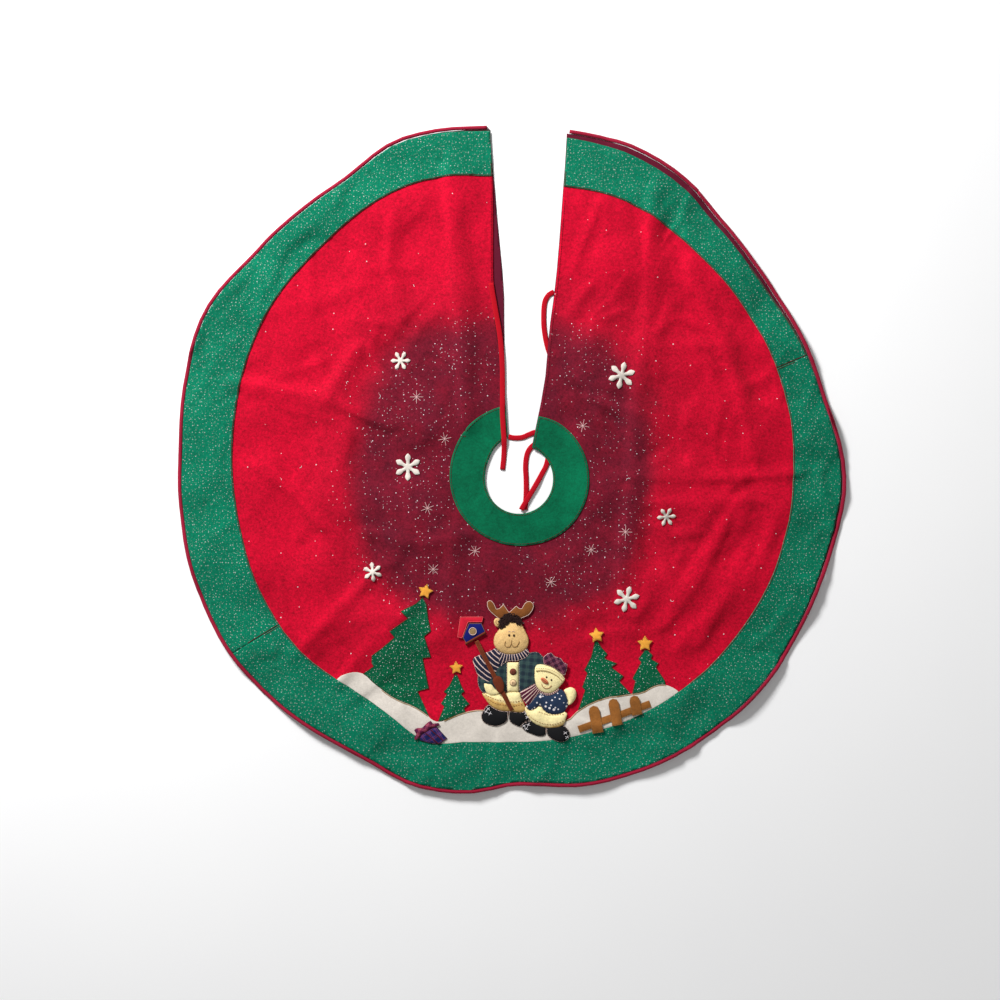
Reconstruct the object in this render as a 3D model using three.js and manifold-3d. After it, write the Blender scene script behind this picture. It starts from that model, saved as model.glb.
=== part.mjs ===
// A felt tree skirt laid flat: lining, red panel, glitter border, collar, hem piping, four fabric
// ties and a snow scene of felt pieces. Millimetres, +Z up. Drawn about the middle of the trunk
// hole with the slit towards +Y, then moved so that the origin is under the middle of the skirt.
import * as THREE from 'three';
import { mergeVertices } from 'three/addons/utils/BufferGeometryUtils.js';
import Module from 'manifold-3d';

const wasm = await Module();
wasm.setup();

// ---------------------------------------------------------------- driving dimensions
const skirtRadius = 600; // mean radius of the hem
const borderWidth = 95; // glitter border, hem to seam
const holeRadius = 63; // trunk hole
const collarWidth = 63; // green ring around the hole
const liningThickness = 0.9;
const feltThickness = 1.3;
const layerGap = 0.3; // between two layers that touch
const edgeGap = 0.4; // between two pieces side by side in one layer
const seamAllowance = 8; // red panel under the border and the collar
const pipingWidth = 7;
const pipingHeight = 4.6;
const pipingInset = 5; // from the slit's corners
const pipingFoldGap = 1.4; // from the fold line to each piping end
const tieWidth = 9.5;
const tieThickness = 2.2;
const tieRise = 0.2; // ties clear the floor by this
const flapLift = tieRise + tieThickness + 2 * layerGap; // the right side of the slit rests on a tie
const foldStart = [59, 20]; // where the fold line of the right side meets the hole
const foldDegrees = 62; // its direction
const pitch = 3; // degrees between two points of a round outline

// Layers from the floor up: index 0 lies on the lining, 1 on the red panel, and so on.
const layerBottom = (index) => liningThickness + layerGap + index * (feltThickness + layerGap);

// ---------------------------------------------------------------- colours
const finish = (color, roughness = 0.95) =>
  new THREE.MeshStandardMaterial({ color, roughness, metalness: 0 });
const felt = {
  lining: finish(0x5c1428),
  red: finish(0xc80a2d),
  border: finish(0x006e4b, 0.8),
  collar: finish(0x007850),
  piping: finish(0x8f1e37),
  tie: finish(0xc81428),
  snow: finish(0xe1dcd7),
  tree: finish(0x005a32, 0.8),
  star: finish(0xf5be32),
  gift: finish(0x1c2350),
  bow: finish(0x7a1e35),
  fence: finish(0xaa6928),
  antler: finish(0x6b4020),
  hair: finish(0x30221c),
  head: finish(0xc8a56e),
  scarf: finish(0x2a2a3c),
  coat: finish(0x24454d),
  cream: finish(0xebdcaa),
  boot: finish(0x1e1e22),
  birdhouse: finish(0x182c78),
  roof: finish(0xd2232d),
  wood: finish(0x6e3a1e),
  hat: finish(0x5f2238),
  sweater: finish(0x263a52),
};

// ---------------------------------------------------------------- outlines
const radians = THREE.MathUtils.degToRad;
const polar = (radius, degrees) => [
  radius * Math.cos(radians(degrees)),
  radius * Math.sin(radians(degrees)),
];

// A smooth function through [at, value] pairs, level beyond both ends.
function through(pairs) {
  const slope = (i) => {
    const a = pairs[Math.max(i - 1, 0)];
    const b = pairs[Math.min(i + 1, pairs.length - 1)];
    return (b[1] - a[1]) / (b[0] - a[0]);
  };
  return (at) => {
    if (at <= pairs[0][0]) return pairs[0][1];
    if (at >= pairs.at(-1)[0]) return pairs.at(-1)[1];
    const i = pairs.findIndex((pair) => pair[0] > at) - 1;
    const span = pairs[i + 1][0] - pairs[i][0];
    const t = (at - pairs[i][0]) / span;
    const rise = pairs[i + 1][1] - pairs[i][1];
    const a = slope(i) * span;
    const b = slope(i + 1) * span;
    return pairs[i][1] + t * a + t * t * (3 * rise - 2 * a - b) + t * t * t * (a + b - 2 * rise);
  };
}

// How far the cloth wanders from a true circle, in mm by angle. The slit lies from 82 to 95 degrees.
const hemWander = through([
  [95, 44], [110, 53], [122, 30], [140, 33], [152, 46], [164, 34], [175, 21], [205, 19], [220, 8],
  [232, -9], [241, -16], [250, -8], [260, -18], [270, -41], [282, -28], [295, -21], [320, -15],
  [340, -19], [360, -5], [372, -21], [385, -24], [400, -20], [411, -3], [421, 24], [432, 39],
  [442, 40],
]);
const seamWander = through([
  [95, 46], [110, 63], [130, 48], [150, 39], [170, 21], [190, 10], [210, 6], [222, -3], [232, -16],
  [241, -15], [251, 3], [258, -15], [270, -25], [304, -21], [327, -16], [357, -8], [382, 3],
  [409, 13], [421, 26], [430, 34], [441, 31],
]);
const collarWander = through([
  [106, 8], [130, 6], [160, 2], [200, -1], [270, -3], [320, 2], [410, -2], [432, -8],
]);
const holeWander = through([[110, 13], [130, 7], [150, 1], [180, -1], [270, 2], [360, -1], [430, -3]]);
const backingShown = through([
  [95, 3], [120, 0.5], [300, 0.5], [352, 3], [380, 1], [400, 7], [425, 11], [442, 8],
]);

const hem = (degrees) => skirtRadius + hemWander(degrees);
const insidePiping = (degrees) => hem(degrees) - pipingWidth - layerGap;
const borderEdge = (degrees) => insidePiping(degrees) - backingShown(degrees);
const borderSeam = (degrees) => skirtRadius - borderWidth + seamWander(degrees);
const panelEdge = (degrees) => borderSeam(degrees) + seamAllowance;
const collarEdge = (degrees) => holeRadius + collarWidth + collarWander(degrees);
const hole = (degrees) => holeRadius + holeWander(degrees);

// Slit edges as x by y, from inside the hole to beyond the hem. The panel is cut a little wider.
const pastHem = 2 * skirtRadius;
const panelInset = 1;
const slitRight = [
  [40, 20], [75, 27], [178, 47], [269, 55], [360, 67], [524, 80], [633, 87], [pastHem, 95],
];
const slitLeft = [
  [40, -19], [69, -20], [142, -25], [266, -27], [346, -28], [475, -40], [524, -44], [642, -53],
  [pastHem, -60],
];
const panelSlitLeft = [
  [40, -19], [69, -20], [142, -25], [215, -30], [266, -38], [346, -46], [524, -47], [642, -53],
  [pastHem, -60],
];

function roundOutline(radius, from = 90, to = 450) {
  const steps = Math.round((to - from) / pitch);
  const open = to - from < 360;
  return Array.from({ length: open ? steps + 1 : steps }, (_, i) => {
    const degrees = from + ((to - from) * i) / steps;
    return polar(radius(degrees), degrees);
  });
}

function smooth(points, perSpan = 3) {
  const curve = new THREE.CatmullRomCurve3(points.map(([x, y]) => new THREE.Vector3(x, y, 0)), true);
  return curve.getPoints(points.length * perSpan).slice(0, -1).map((p) => [p.x, p.y]);
}

// Moves every point of a closed outline outwards by a distance.
function grow(points, distance) {
  const area = THREE.ShapeUtils.area(points.map(([x, y]) => new THREE.Vector2(x, y)));
  const side = Math.sign(area) * distance;
  return points.map(([x, y], i) => {
    const [ax, ay] = points.at(i - 1);
    const [bx, by] = points[(i + 1) % points.length];
    const length = Math.hypot(bx - ax, by - ay);
    return [x + (side * (by - ay)) / length, y - (side * (bx - ax)) / length];
  });
}

// ---------------------------------------------------------------- solids
function prism(outline, bottom, height, holeOutline) {
  const shape = new THREE.Shape(outline.map(([x, y]) => new THREE.Vector2(x, y)));
  if (holeOutline) shape.holes.push(new THREE.Path(holeOutline.map(([x, y]) => new THREE.Vector2(x, y))));
  const geometry = new THREE.ExtrudeGeometry(shape, { depth: height, bevelEnabled: false });
  return geometry.translate(0, 0, bottom);
}

function solid(geometry) {
  const bare = geometry.clone();
  bare.deleteAttribute('normal');
  bare.deleteAttribute('uv');
  const merged = mergeVertices(bare, 1e-4);
  return new wasm.Manifold(
    new wasm.Mesh({
      numProp: 3,
      vertProperties: new Float32Array(merged.attributes.position.array),
      triVerts: new Uint32Array(merged.index.array),
    }),
  );
}

function fromSolid(manifold) {
  const mesh = manifold.getMesh();
  const geometry = new THREE.BufferGeometry();
  geometry.setAttribute('position', new THREE.BufferAttribute(new Float32Array(mesh.vertProperties), 3));
  geometry.setIndex(new THREE.BufferAttribute(new Uint32Array(mesh.triVerts), 1));
  geometry.computeVertexNormals();
  return geometry;
}

// A tall prism that cuts or keeps everything inside an outline.
const cutterBottom = -20;
const cutterHeight = 80;
const cutter = (outline) => solid(prism(outline, cutterBottom, cutterHeight));

const skirt = new THREE.Group();

function add(name, geometry, material) {
  const mesh = new THREE.Mesh(geometry, material);
  mesh.name = name;
  skirt.add(mesh);
}

// ---------------------------------------------------------------- the fold of the right side
const foldAlong = polar(1, foldDegrees);
const foldAcross = polar(1, foldDegrees + 90);
const foldOff = -(foldStart[0] * foldAcross[0] + foldStart[1] * foldAcross[1]); // from the hole's middle

// Everything from the middle of the slit to the fold line, which moves across by a distance.
function flapSide(across) {
  const start = foldStart.map((value, i) => value + across * foldAcross[i] - holeRadius * foldAlong[i]);
  const end = start.map((value, i) => value + 2 * pastHem * foldAlong[i]);
  return cutter([start, end, [0, 2 * pastHem], [0, start[1]]]);
}
const keptOfFlap = flapSide(edgeGap / 2);
const cutFromRoot = flapSide(-edgeGap / 2);

// Angle at which the fold line crosses a round edge.
function foldCrossing(radius) {
  let degrees = foldDegrees;
  for (let i = 0; i < 40; i += 1) {
    const reach = Math.sqrt(radius(360 + degrees) ** 2 - foldOff ** 2);
    degrees = foldDegrees - THREE.MathUtils.radToDeg(Math.atan2(foldOff, reach));
  }
  return 360 + degrees;
}

// ---------------------------------------------------------------- the big sheets
const slitSteps = 24;
function slitCutter(left, right) {
  const edge = (pairs) => {
    const at = through(pairs);
    const [low, high] = [pairs[0][0], pairs.at(-1)[0]];
    const heights = Array.from({ length: slitSteps + 1 }, (_, i) => low + ((high - low) * i) / slitSteps);
    return heights.map((y) => [at(y), y]);
  };
  return cutter([...edge(right), ...edge(left).reverse()]);
}
const liningSlit = slitCutter(slitLeft, slitRight);
const feltSlit = slitCutter(panelSlitLeft, slitRight.map(([y, x]) => [y, x + panelInset]));

function sheet(name, outer, inner, slit, bottom, thickness, material, flapName) {
  const ring = solid(prism(roundOutline(outer), bottom, thickness, roundOutline(inner))).subtract(slit);
  add(name, fromSolid(ring.subtract(cutFromRoot)), material);
  add(flapName, fromSolid(ring.intersect(keptOfFlap)).translate(0, 0, flapLift), material);
}

sheet('lining', insidePiping, hole, liningSlit, 0, liningThickness, felt.lining, 'lining_flap');
sheet('red_panel', panelEdge, (a) => collarEdge(a) - seamAllowance, feltSlit, layerBottom(0), feltThickness,
  felt.red, 'red_panel_flap');
sheet('collar', collarEdge, hole, feltSlit, layerBottom(1), feltThickness, felt.collar, 'collar_flap');

// The border is pieced from three arcs; the short one ends at the slit and crosses the fold.
const borderJoints = { left: 211.5, right: 383 };
function borderArc(from, to) {
  const halfGap = THREE.MathUtils.radToDeg(edgeGap / 2 / skirtRadius);
  const fan = [[0, 0], ...roundOutline(() => pastHem, from + halfGap, to - halfGap)];
  const ring = prism(roundOutline(borderEdge), layerBottom(1), feltThickness, roundOutline(borderSeam));
  return solid(ring).subtract(feltSlit).intersect(cutter(fan));
}
add('border_left', fromSolid(borderArc(90, borderJoints.left)), felt.border);
add('border_lower', fromSolid(borderArc(borderJoints.left, borderJoints.right)), felt.border);
const borderRight = borderArc(borderJoints.right, 450);
add('border_right', fromSolid(borderRight.subtract(cutFromRoot)), felt.border);
add('border_right_flap', fromSolid(borderRight.intersect(keptOfFlap)).translate(0, 0, flapLift), felt.border);

// Piping along the hem, from one corner of the slit to the other.
function ovalSection(width, height) {
  const shape = new THREE.Shape();
  shape.absellipse(0, 0, height / 2, width / 2, 0, 2 * Math.PI);
  return new THREE.Shape(shape.getPoints(4).slice(0, 8));
}

function tube(points, width, height, steps) {
  const path = new THREE.CatmullRomCurve3(points.map((p) => new THREE.Vector3(...p)));
  const section = ovalSection(width, height);
  return new THREE.ExtrudeGeometry(section, { steps, bevelEnabled: false, extrudePath: path });
}

function piping(from, to, lift) {
  const middle = (degrees) => hem(degrees) - pipingWidth / 2;
  const points = roundOutline(middle, from, to).map(([x, y]) => [x, y, pipingHeight / 2 + lift]);
  return tube(points, pipingWidth, pipingHeight, points.length);
}

// Angle at which a slit edge meets the hem, from a first guess.
function hemCorner(edge, guess) {
  const at = through(edge);
  let degrees = guess;
  for (let i = 0; i < 20; i += 1) {
    const y = polar(hem(degrees), degrees)[1];
    degrees = THREE.MathUtils.radToDeg(Math.atan2(y, at(y))) + (guess > 360 ? 360 : 0);
  }
  return degrees;
}
const alongHem = (distance) => THREE.MathUtils.radToDeg(distance / skirtRadius);
const pipingStart = hemCorner(slitLeft, 95) + alongHem(pipingInset);
const pipingEnd = hemCorner(slitRight, 442) - alongHem(pipingInset);
const pipingFold = foldCrossing(hem);
add('piping', piping(pipingStart, pipingFold - alongHem(pipingFoldGap), 0), felt.piping);
add('piping_flap', piping(pipingFold + alongHem(pipingFoldGap), pipingEnd, flapLift), felt.piping);

// ---------------------------------------------------------------- ties
const onFloor = tieRise + tieThickness / 2;
const onPanel = layerBottom(1) + tieThickness / 2;
const onCollar = layerBottom(2) + tieThickness / 2;
const onTie = onFloor + tieThickness + layerGap;
const tieRoutes = {
  tie_slit_left: [[-51, 355, onPanel], [-47, 330, onPanel], [-41, 296, onPanel], [-35, 261, onPanel],
    [-31, 218, onPanel], [-30, 180, onPanel], [-30, 158, onPanel], [-30, 138, onCollar],
    [-30, 118, onCollar], [-29, 98, onCollar], [-28, 82, onCollar], [-27, 68, onCollar],
    [-27, 52, onFloor + 1], [-28, 34, onFloor], [-30, 15, onFloor]],
  tie_slit_right: [[64, 339, onFloor], [54, 333, onFloor], [47, 320, onFloor], [45, 297, onFloor],
    [46, 270, onFloor], [51, 242, onFloor], [58, 222, onFloor], [69, 204, onFloor], [84, 197, onFloor],
    [97, 206, onFloor], [102, 230, onFloor], [101, 260, onFloor], [97, 295, onFloor],
    [92, 328, onFloor], [89, 358, onFloor]],
  tie_collar_left: [[-19, 75, onFloor], [-8, 73, onFloor], [6, 74, onFloor], [18, 79, onFloor],
    [30, 83, onFloor], [38, 76, onFloor], [34, 65, onFloor], [23, 57, onFloor], [15, 44, onFloor],
    [12, 22, onFloor], [13, -2, onFloor], [13, -30, onFloor], [11, -58, onFloor]],
  tie_collar_right: [[40, 108, onFloor], [47, 90, onFloor], [53, 68, onFloor], [54, 46, onFloor],
    [50, 24, onFloor], [41, 6, onFloor + 0.8], [31, -12, onTie], [21, -29, onTie], [12, -44, onTie],
    [4, -58, onTie]],
};
const tieStep = 11; // between two rings of a tie
for (const [name, route] of Object.entries(tieRoutes)) {
  const length = new THREE.CatmullRomCurve3(route.map((p) => new THREE.Vector3(...p))).getLength();
  add(name, tube(route, tieWidth, tieThickness, Math.ceil(length / tieStep)), felt.tie);
}

// ---------------------------------------------------------------- the snow scene
// Scene outlines are x from the middle and y up from the border seam at the bottom of the skirt.
const sceneY = -borderSeam(270);
const inScene = (points) => points.map(([x, y]) => [x, y + sceneY]);
const panelOpening = cutter(roundOutline((degrees) => borderSeam(degrees) - edgeGap));

const snowTop = [
  [-345, 96], [-329, 116], [-318, 123], [-300, 127], [-282, 123], [-264, 107], [-238, 87], [-218, 76],
  [-191, 65], [-167, 50], [-157, 41], [-142, 38], [-113, 49], [-89, 56], [-62, 58], [-10, 50], [45, 38],
  [84, 38], [111, 60], [153, 80], [197, 87], [224, 91], [242, 101], [260, 105], [278, 100], [292, 90],
  [310, 70],
];
function snowBlank(rise) {
  const top = new THREE.SplineCurve(inScene(snowTop).map(([x, y]) => new THREE.Vector2(x, y + rise)));
  const crest = top.getPoints(2 * snowTop.length).map((p) => [p.x, p.y]);
  const low = sceneY - borderWidth;
  return [...crest, [crest.at(-1)[0], low], [crest[0][0], low]];
}
const snowCutter = cutter(snowBlank(edgeGap));

function flat(name, outline, layer, material, trim = []) {
  let body = solid(prism(outline, layerBottom(layer), feltThickness));
  for (const other of trim) body = body.subtract(other);
  add(name, fromSolid(body), material);
}

add('snow_bank', fromSolid(solid(prism(snowBlank(0), layerBottom(1), feltThickness)).intersect(panelOpening)),
  felt.snow);

// Trees: branch tips and notches down each side; the snow covers their feet.
const trees = {
  tree_tall: [[-175, 263], [-187, 252], [-215, 238], [-202, 225], [-235, 202], [-226, 191], [-248, 172],
    [-267, 158], [-268, 144], [-264, 138], [-292, 118], [-292, 60], [-160, 40], [-166, 54], [-184, 92],
    [-164, 97], [-175, 152], [-160, 154], [-172, 192], [-160, 202], [-165, 225], [-168, 250]],
  tree_small: [[-117, 122], [-127, 102], [-137, 91], [-131, 87], [-142, 70], [-136, 65], [-148, 36],
    [-92, 36], [-96, 52], [-100, 61], [-90, 69], [-105, 87], [-99, 92], [-104, 101], [-112, 121]],
  tree_inner: [[138, 183], [131, 154], [119, 131], [124, 125], [115, 100], [120, 94], [104, 48],
    [206, 84], [200, 92], [182, 111], [190, 120], [168, 136], [178, 143], [155, 152], [161, 160],
    [150, 172], [143, 183]],
  tree_outer: [[229, 167], [217, 151], [222, 145], [206, 116], [211, 111], [203, 80], [272, 96],
    [266, 104], [265, 112], [249, 136], [254, 143], [240, 151], [243, 158], [234, 167]],
};
for (const [name, points] of Object.entries(trees)) {
  flat(name, inScene(points), 1, felt.tree, [snowCutter]);
}

// Plump five-pointed stars on the tree tops: place, reach of a point and turn in degrees.
const starWaist = 0.56; // notch radius as a share of the reach
function star(x, y, reach, turn) {
  const points = Array.from({ length: 10 }, (_, i) => {
    const [dx, dy] = polar(i % 2 ? starWaist * reach : reach, 90 + turn + 36 * i);
    return [x + dx, y + dy];
  });
  return smooth(points, 2);
}
const stars = {
  star_tall: [-170, 274, 14, -14],
  star_small: [-114, 135, 12.5, 4],
  star_inner: [141, 194, 14, 6],
  star_outer: [229, 179, 14.5, 0],
};
for (const [name, [x, y, reach, turn]] of Object.entries(stars)) {
  flat(name, star(x, y + sceneY, reach, turn), 2, felt.star);
}

// Felt snowflakes: six petals that widen to a shoulder and end in a blunt point. Place by angle and
// distance, reach and turn.
const petal = [[0.25, -30], [0.42, -16], [0.68, -17], [0.8, -14.5], [0.92, -6.5], [1, 0], [0.92, 6.5],
  [0.8, 14.5], [0.68, 17], [0.42, 16]];
function snowflake(x, y, reach, turn) {
  return Array.from({ length: 6 }, (_, i) => i * 60 + turn).flatMap((spoke) =>
    petal.map(([share, degrees]) => {
      const [dx, dy] = polar(share * reach, spoke + degrees);
      return [x + dx, y + dy];
    }),
  );
}
const snowflakes = [[135.3, 303, 18, 0], [45, 263, 25, 17], [174.4, 203, 25, 30], [345.2, 277, 17.5, 5],
  [212.7, 316, 18, 37], [311.6, 294, 24, 16]];
snowflakes.forEach(([degrees, distance, reach, turn], i) => {
  const [x, y] = polar(distance, degrees);
  flat(`snowflake_${i + 1}`, snowflake(x, y, reach, turn), 1, felt.snow);
});

// Gift with a bow, half over the border.
flat('gift_box', inScene([[-181, 14], [-172, 21], [-157, 29], [-150, 30], [-130, 8], [-143, -2],
  [-160, -1], [-180, 4]]), 2, felt.gift);
flat('gift_bow', smooth(inScene([[-190, 23], [-184, 27], [-176, 27], [-170, 33], [-160, 40], [-156, 35],
  [-146, 36], [-144, 32], [-158, 28], [-166, 22], [-177, 16], [-182, 8], [-188, 5], [-190, 9],
  [-186, 16]]), 2), 3, felt.bow);

// Fence: one rail with three pickets over it.
const fenceTurn = 20;
const railWidth = 13;
// A strip cut square at its near end; the far end is round or, like the near one, square.
function bar(x, y, length, width, turn, roundEnd) {
  const square = [[length / 2, -width / 2], [length / 2, width / 2]];
  const round = Array.from({ length: 5 }, (_, i) => polar(width / 2, -90 + 45 * i));
  const far = roundEnd ? round.map(([a, b]) => [length / 2 - width / 2 + a, b]) : square;
  const [c, s] = polar(1, turn);
  return [...far, ...square.map(([a, b]) => [-a, -b])].map(([a, b]) => [x + a * c - b * s, y + a * s + b * c]);
}
flat('fence_rail', inScene(bar(173, 47, 138, railWidth, fenceTurn, false)), 2, felt.fence);
[[139, 42, 50, 20], [174, 56, 49, 19], [211, 68, 36, 19]].forEach(([x, y, length, width], i) => {
  flat(`fence_picket_${i + 1}`, inScene(bar(x, y, length, width, 90 + fenceTurn / 2, true)), 3, felt.fence);
});

// ---------------------------------------------------------------- moose
const outline = {
  antlers: [[-58, 255], [-54, 258], [-50, 257], [-46, 253], [-43, 247], [-41, 242], [-36, 243],
    [-28, 251], [-18, 236], [-5, 248], [1, 243], [5, 243], [10, 252], [15, 256], [21, 256], [26, 252],
    [27, 246], [24, 238], [18, 231], [10, 227], [2, 224], [-34, 222], [-42, 228], [-49, 234],
    [-55, 240], [-58, 247]],
  hair: smooth([[-33, 226], [-24, 232], [-15, 231], [-6, 229], [3, 226], [5, 221], [3, 216], [-3, 215],
    [-12, 218], [-21, 217], [-24, 212], [-27, 207], [-33, 210], [-35, 219]], 2),
  head: smooth([[-46, 186], [-43, 196], [-36, 205], [-31, 213], [-22, 218], [-12, 219], [2, 217],
    [7, 210], [12, 200], [17, 189], [17, 180], [14, 171], [2, 163], [-12, 160], [-26, 161], [-39, 168],
    [-45, 177]], 2),
  scarf: smooth([[19, 162], [16, 156], [2, 149], [-9, 147], [-21, 147], [-31, 139], [-38, 130],
    [-45, 115], [-51, 107], [-60, 109], [-69, 116], [-77, 126], [-82, 141], [-84, 152], [-71, 159],
    [-52, 166], [-43, 171], [-20, 176], [5, 176], [15, 170]], 2),
  coatLeft: smooth([[-22, 146], [-22, 120], [-22, 92], [-38, 89], [-54, 88], [-65, 90], [-71, 96],
    [-75, 107], [-75, 119], [-71, 136], [-58, 150], [-38, 156], [-24, 156]], 2),
  coatRight: smooth([[0, 149], [8, 154], [17, 161], [26, 164], [35, 163], [43, 156], [47, 146],
    [44, 128], [38, 108], [28, 98], [14, 90], [1, 91], [0, 120]], 2),
  shirt: [[-21.4, 145], [-0.6, 145], [-0.6, 91.5], [-21.4, 91.5]],
  hem: smooth([[-67, 89], [-61, 78], [-53, 68], [-43, 61], [-31, 57], [-12, 56], [2, 54], [10, 57],
    [11, 66], [4, 80], [1, 90], [-20, 90.5], [-45, 87.5]], 2),
  bootLeft: smooth([[-56, 68], [-65, 57], [-69, 48], [-66, 38], [-57, 32], [-45, 29], [-33, 31],
    [-22, 38], [-20, 48], [-21, 62], [-35, 66]], 2),
  bootRight: smooth([[-18, 62], [-18, 50], [-17, 38], [-7, 31], [4, 28], [14, 33], [19, 42], [15, 52],
    [8, 60], [-6, 64]], 2),
  arm: smooth([[-64, 108], [-49, 106], [-44, 98], [-35, 90], [-40, 86], [-52, 85], [-60, 92]], 2),
  mitten: smooth([[-41, 121], [-33, 119], [-28, 109], [-27, 99], [-30, 91], [-36, 90], [-45, 104],
    [-48, 114]], 2),
};
const snowmanOutline = {
  hat: [[43, 153], [46, 157], [52, 162], [59, 163], [65, 156], [76, 153], [81, 146], [88, 142],
    [87, 133], [83, 121], [78, 124], [70, 131], [60, 136], [45, 142]],
  head: smooth([[29, 136], [33, 141], [45, 141], [58, 137], [71, 129], [83, 116], [80, 109], [74, 102],
    [67, 95], [58, 90], [48, 90], [39, 94], [32, 102], [29, 112], [28, 124]], 2),
  scarf: smooth([[29, 107], [15, 99], [2, 91], [5, 82], [11, 72], [17, 67], [26, 77], [33, 85],
    [38, 90], [48, 85], [58, 86], [67, 90], [73, 96], [70, 102], [50, 98], [36, 104]], 2),
  sweater: smooth([[36, 92], [48, 88], [60, 88], [70, 94], [76, 96], [82, 92], [87, 81], [89, 70],
    [85, 60], [81, 55], [67, 51], [53, 53], [45, 59], [38, 67], [31, 62], [20, 58], [13, 65], [22, 80]],
    2),
  hem: smooth([[11, 64], [13, 52], [20, 41], [32, 32], [48, 27], [64, 27], [80, 32], [85, 44], [87, 53],
    [70, 60], [50, 62], [30, 66]], 2),
  arm: smooth([[82, 95], [87, 98], [94, 100], [101, 97], [104, 90], [103, 81], [98, 73], [90, 68],
    [86, 76], [83, 86]], 2),
  bootLeft: smooth([[4, 30], [10, 36], [22, 38], [34, 33], [48, 28], [48, 14], [37, 11], [23, 15],
    [10, 21]], 2),
  bootRight: smooth([[51, 28], [51, 14], [60, 6], [73, 1], [84, 2], [91, 9], [92, 17], [88, 25],
    [80, 31], [66, 29]], 2),
};
const around = (points) => cutter(grow(inScene(points), edgeGap));
const beside = Object.fromEntries(Object.entries(outline).map(([name, points]) => [name, around(points)]));
const besideSnowman = Object.fromEntries(
  Object.entries(snowmanOutline).map(([name, points]) => [name, around(points)]),
);

flat('moose_antlers', inScene(outline.antlers), 2, felt.antler);
flat('moose_head', inScene(outline.head), 3, felt.head);
flat('moose_hair', inScene(outline.hair), 4, felt.hair);
flat('moose_scarf', inScene(outline.scarf), 3, felt.scarf, [beside.head]);
flat('moose_coat_left', inScene(outline.coatLeft), 2, felt.coat, [beside.hem, beside.shirt]);
flat('moose_coat_right', inScene(outline.coatRight), 2, felt.coat, [beside.hem, beside.shirt]);
flat('moose_shirt', inScene(outline.shirt), 2, felt.cream);
flat('moose_hem', inScene(outline.hem), 2, felt.cream);
flat('moose_boot_left', inScene(outline.bootLeft), 2, felt.boot, [beside.hem]);
flat('moose_boot_right', inScene(outline.bootRight), 2, felt.boot,
  [beside.hem, besideSnowman.bootLeft, besideSnowman.hem]);
flat('moose_arm', inScene(outline.arm), 3, felt.cream, [beside.scarf]);

// Birdhouse on a pole, held by the mitten.
const roof = [[-107, 228], [-65, 228], [-67, 218], [-92.5, 218], [-103, 189], [-112, 191]];
flat('birdhouse_front', inScene([[-91, 216], [-68, 216], [-61, 200], [-96, 180], [-103, 191]]), 2,
  felt.birdhouse, [around(roof)]);
flat('birdhouse_roof', inScene(roof), 2, felt.roof);
flat('birdhouse_pole', inScene(bar(-45, 121, 142, 8, -63, false)), 4, felt.wood);
flat('moose_mitten', inScene(outline.mitten), 5, felt.wood);

// ---------------------------------------------------------------- snowman
flat('snowman_hat', inScene(snowmanOutline.hat), 4, felt.hat, [besideSnowman.head]);
flat('snowman_head', inScene(snowmanOutline.head), 4, felt.cream);
flat('snowman_scarf', inScene(snowmanOutline.scarf), 4, felt.scarf, [besideSnowman.head]);
flat('snowman_sweater', inScene(snowmanOutline.sweater), 3, felt.sweater);
flat('snowman_arm', inScene(snowmanOutline.arm), 3, felt.cream, [besideSnowman.sweater]);
flat('snowman_hem', inScene(snowmanOutline.hem), 3, felt.cream, [besideSnowman.sweater]);
flat('snowman_boot_left', inScene(snowmanOutline.bootLeft), 2, felt.boot,
  [besideSnowman.bootRight]);
flat('snowman_boot_right', inScene(snowmanOutline.bootRight), 2, felt.boot);

// ---------------------------------------------------------------- origin under the middle
const whole = new THREE.Box3();
for (const mesh of skirt.children) {
  if (!mesh.name.startsWith('tie_')) whole.expandByObject(mesh);
}
const middle = whole.getCenter(new THREE.Vector3());
skirt.position.set(-middle.x, -middle.y, -whole.min.z);

const group = new THREE.Group();
group.add(skirt);

export default group;
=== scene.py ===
"""A felt tree skirt laid flat on a pale floor, with a padded snow scene, glitter border and fabric ties."""

import functools
import math

import bmesh
import bpy
import numpy as np
from bpy.props import FloatProperty, FloatVectorProperty, IntProperty, PointerProperty
from mathutils import Matrix, Vector


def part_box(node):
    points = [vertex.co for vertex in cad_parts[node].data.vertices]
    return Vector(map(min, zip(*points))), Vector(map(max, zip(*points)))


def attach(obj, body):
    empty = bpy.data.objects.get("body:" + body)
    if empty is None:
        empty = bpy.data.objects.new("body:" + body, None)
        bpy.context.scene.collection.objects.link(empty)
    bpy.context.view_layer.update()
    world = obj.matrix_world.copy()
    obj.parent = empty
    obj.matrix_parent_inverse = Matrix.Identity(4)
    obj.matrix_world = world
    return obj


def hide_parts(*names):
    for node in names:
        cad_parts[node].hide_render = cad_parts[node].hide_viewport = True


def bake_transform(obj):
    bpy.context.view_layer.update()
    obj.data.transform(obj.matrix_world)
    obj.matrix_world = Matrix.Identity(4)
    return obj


bl_info = {
    "name": "Tree Skirt",
    "version": (1, 0, 0),
    "blender": (4, 5, 0),
    "location": "3D View > Sidebar > Tree Skirt",
    "description": "Builds a felt tree skirt over its CAD frame, piece by piece",
    "category": "Add Mesh",
}

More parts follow.
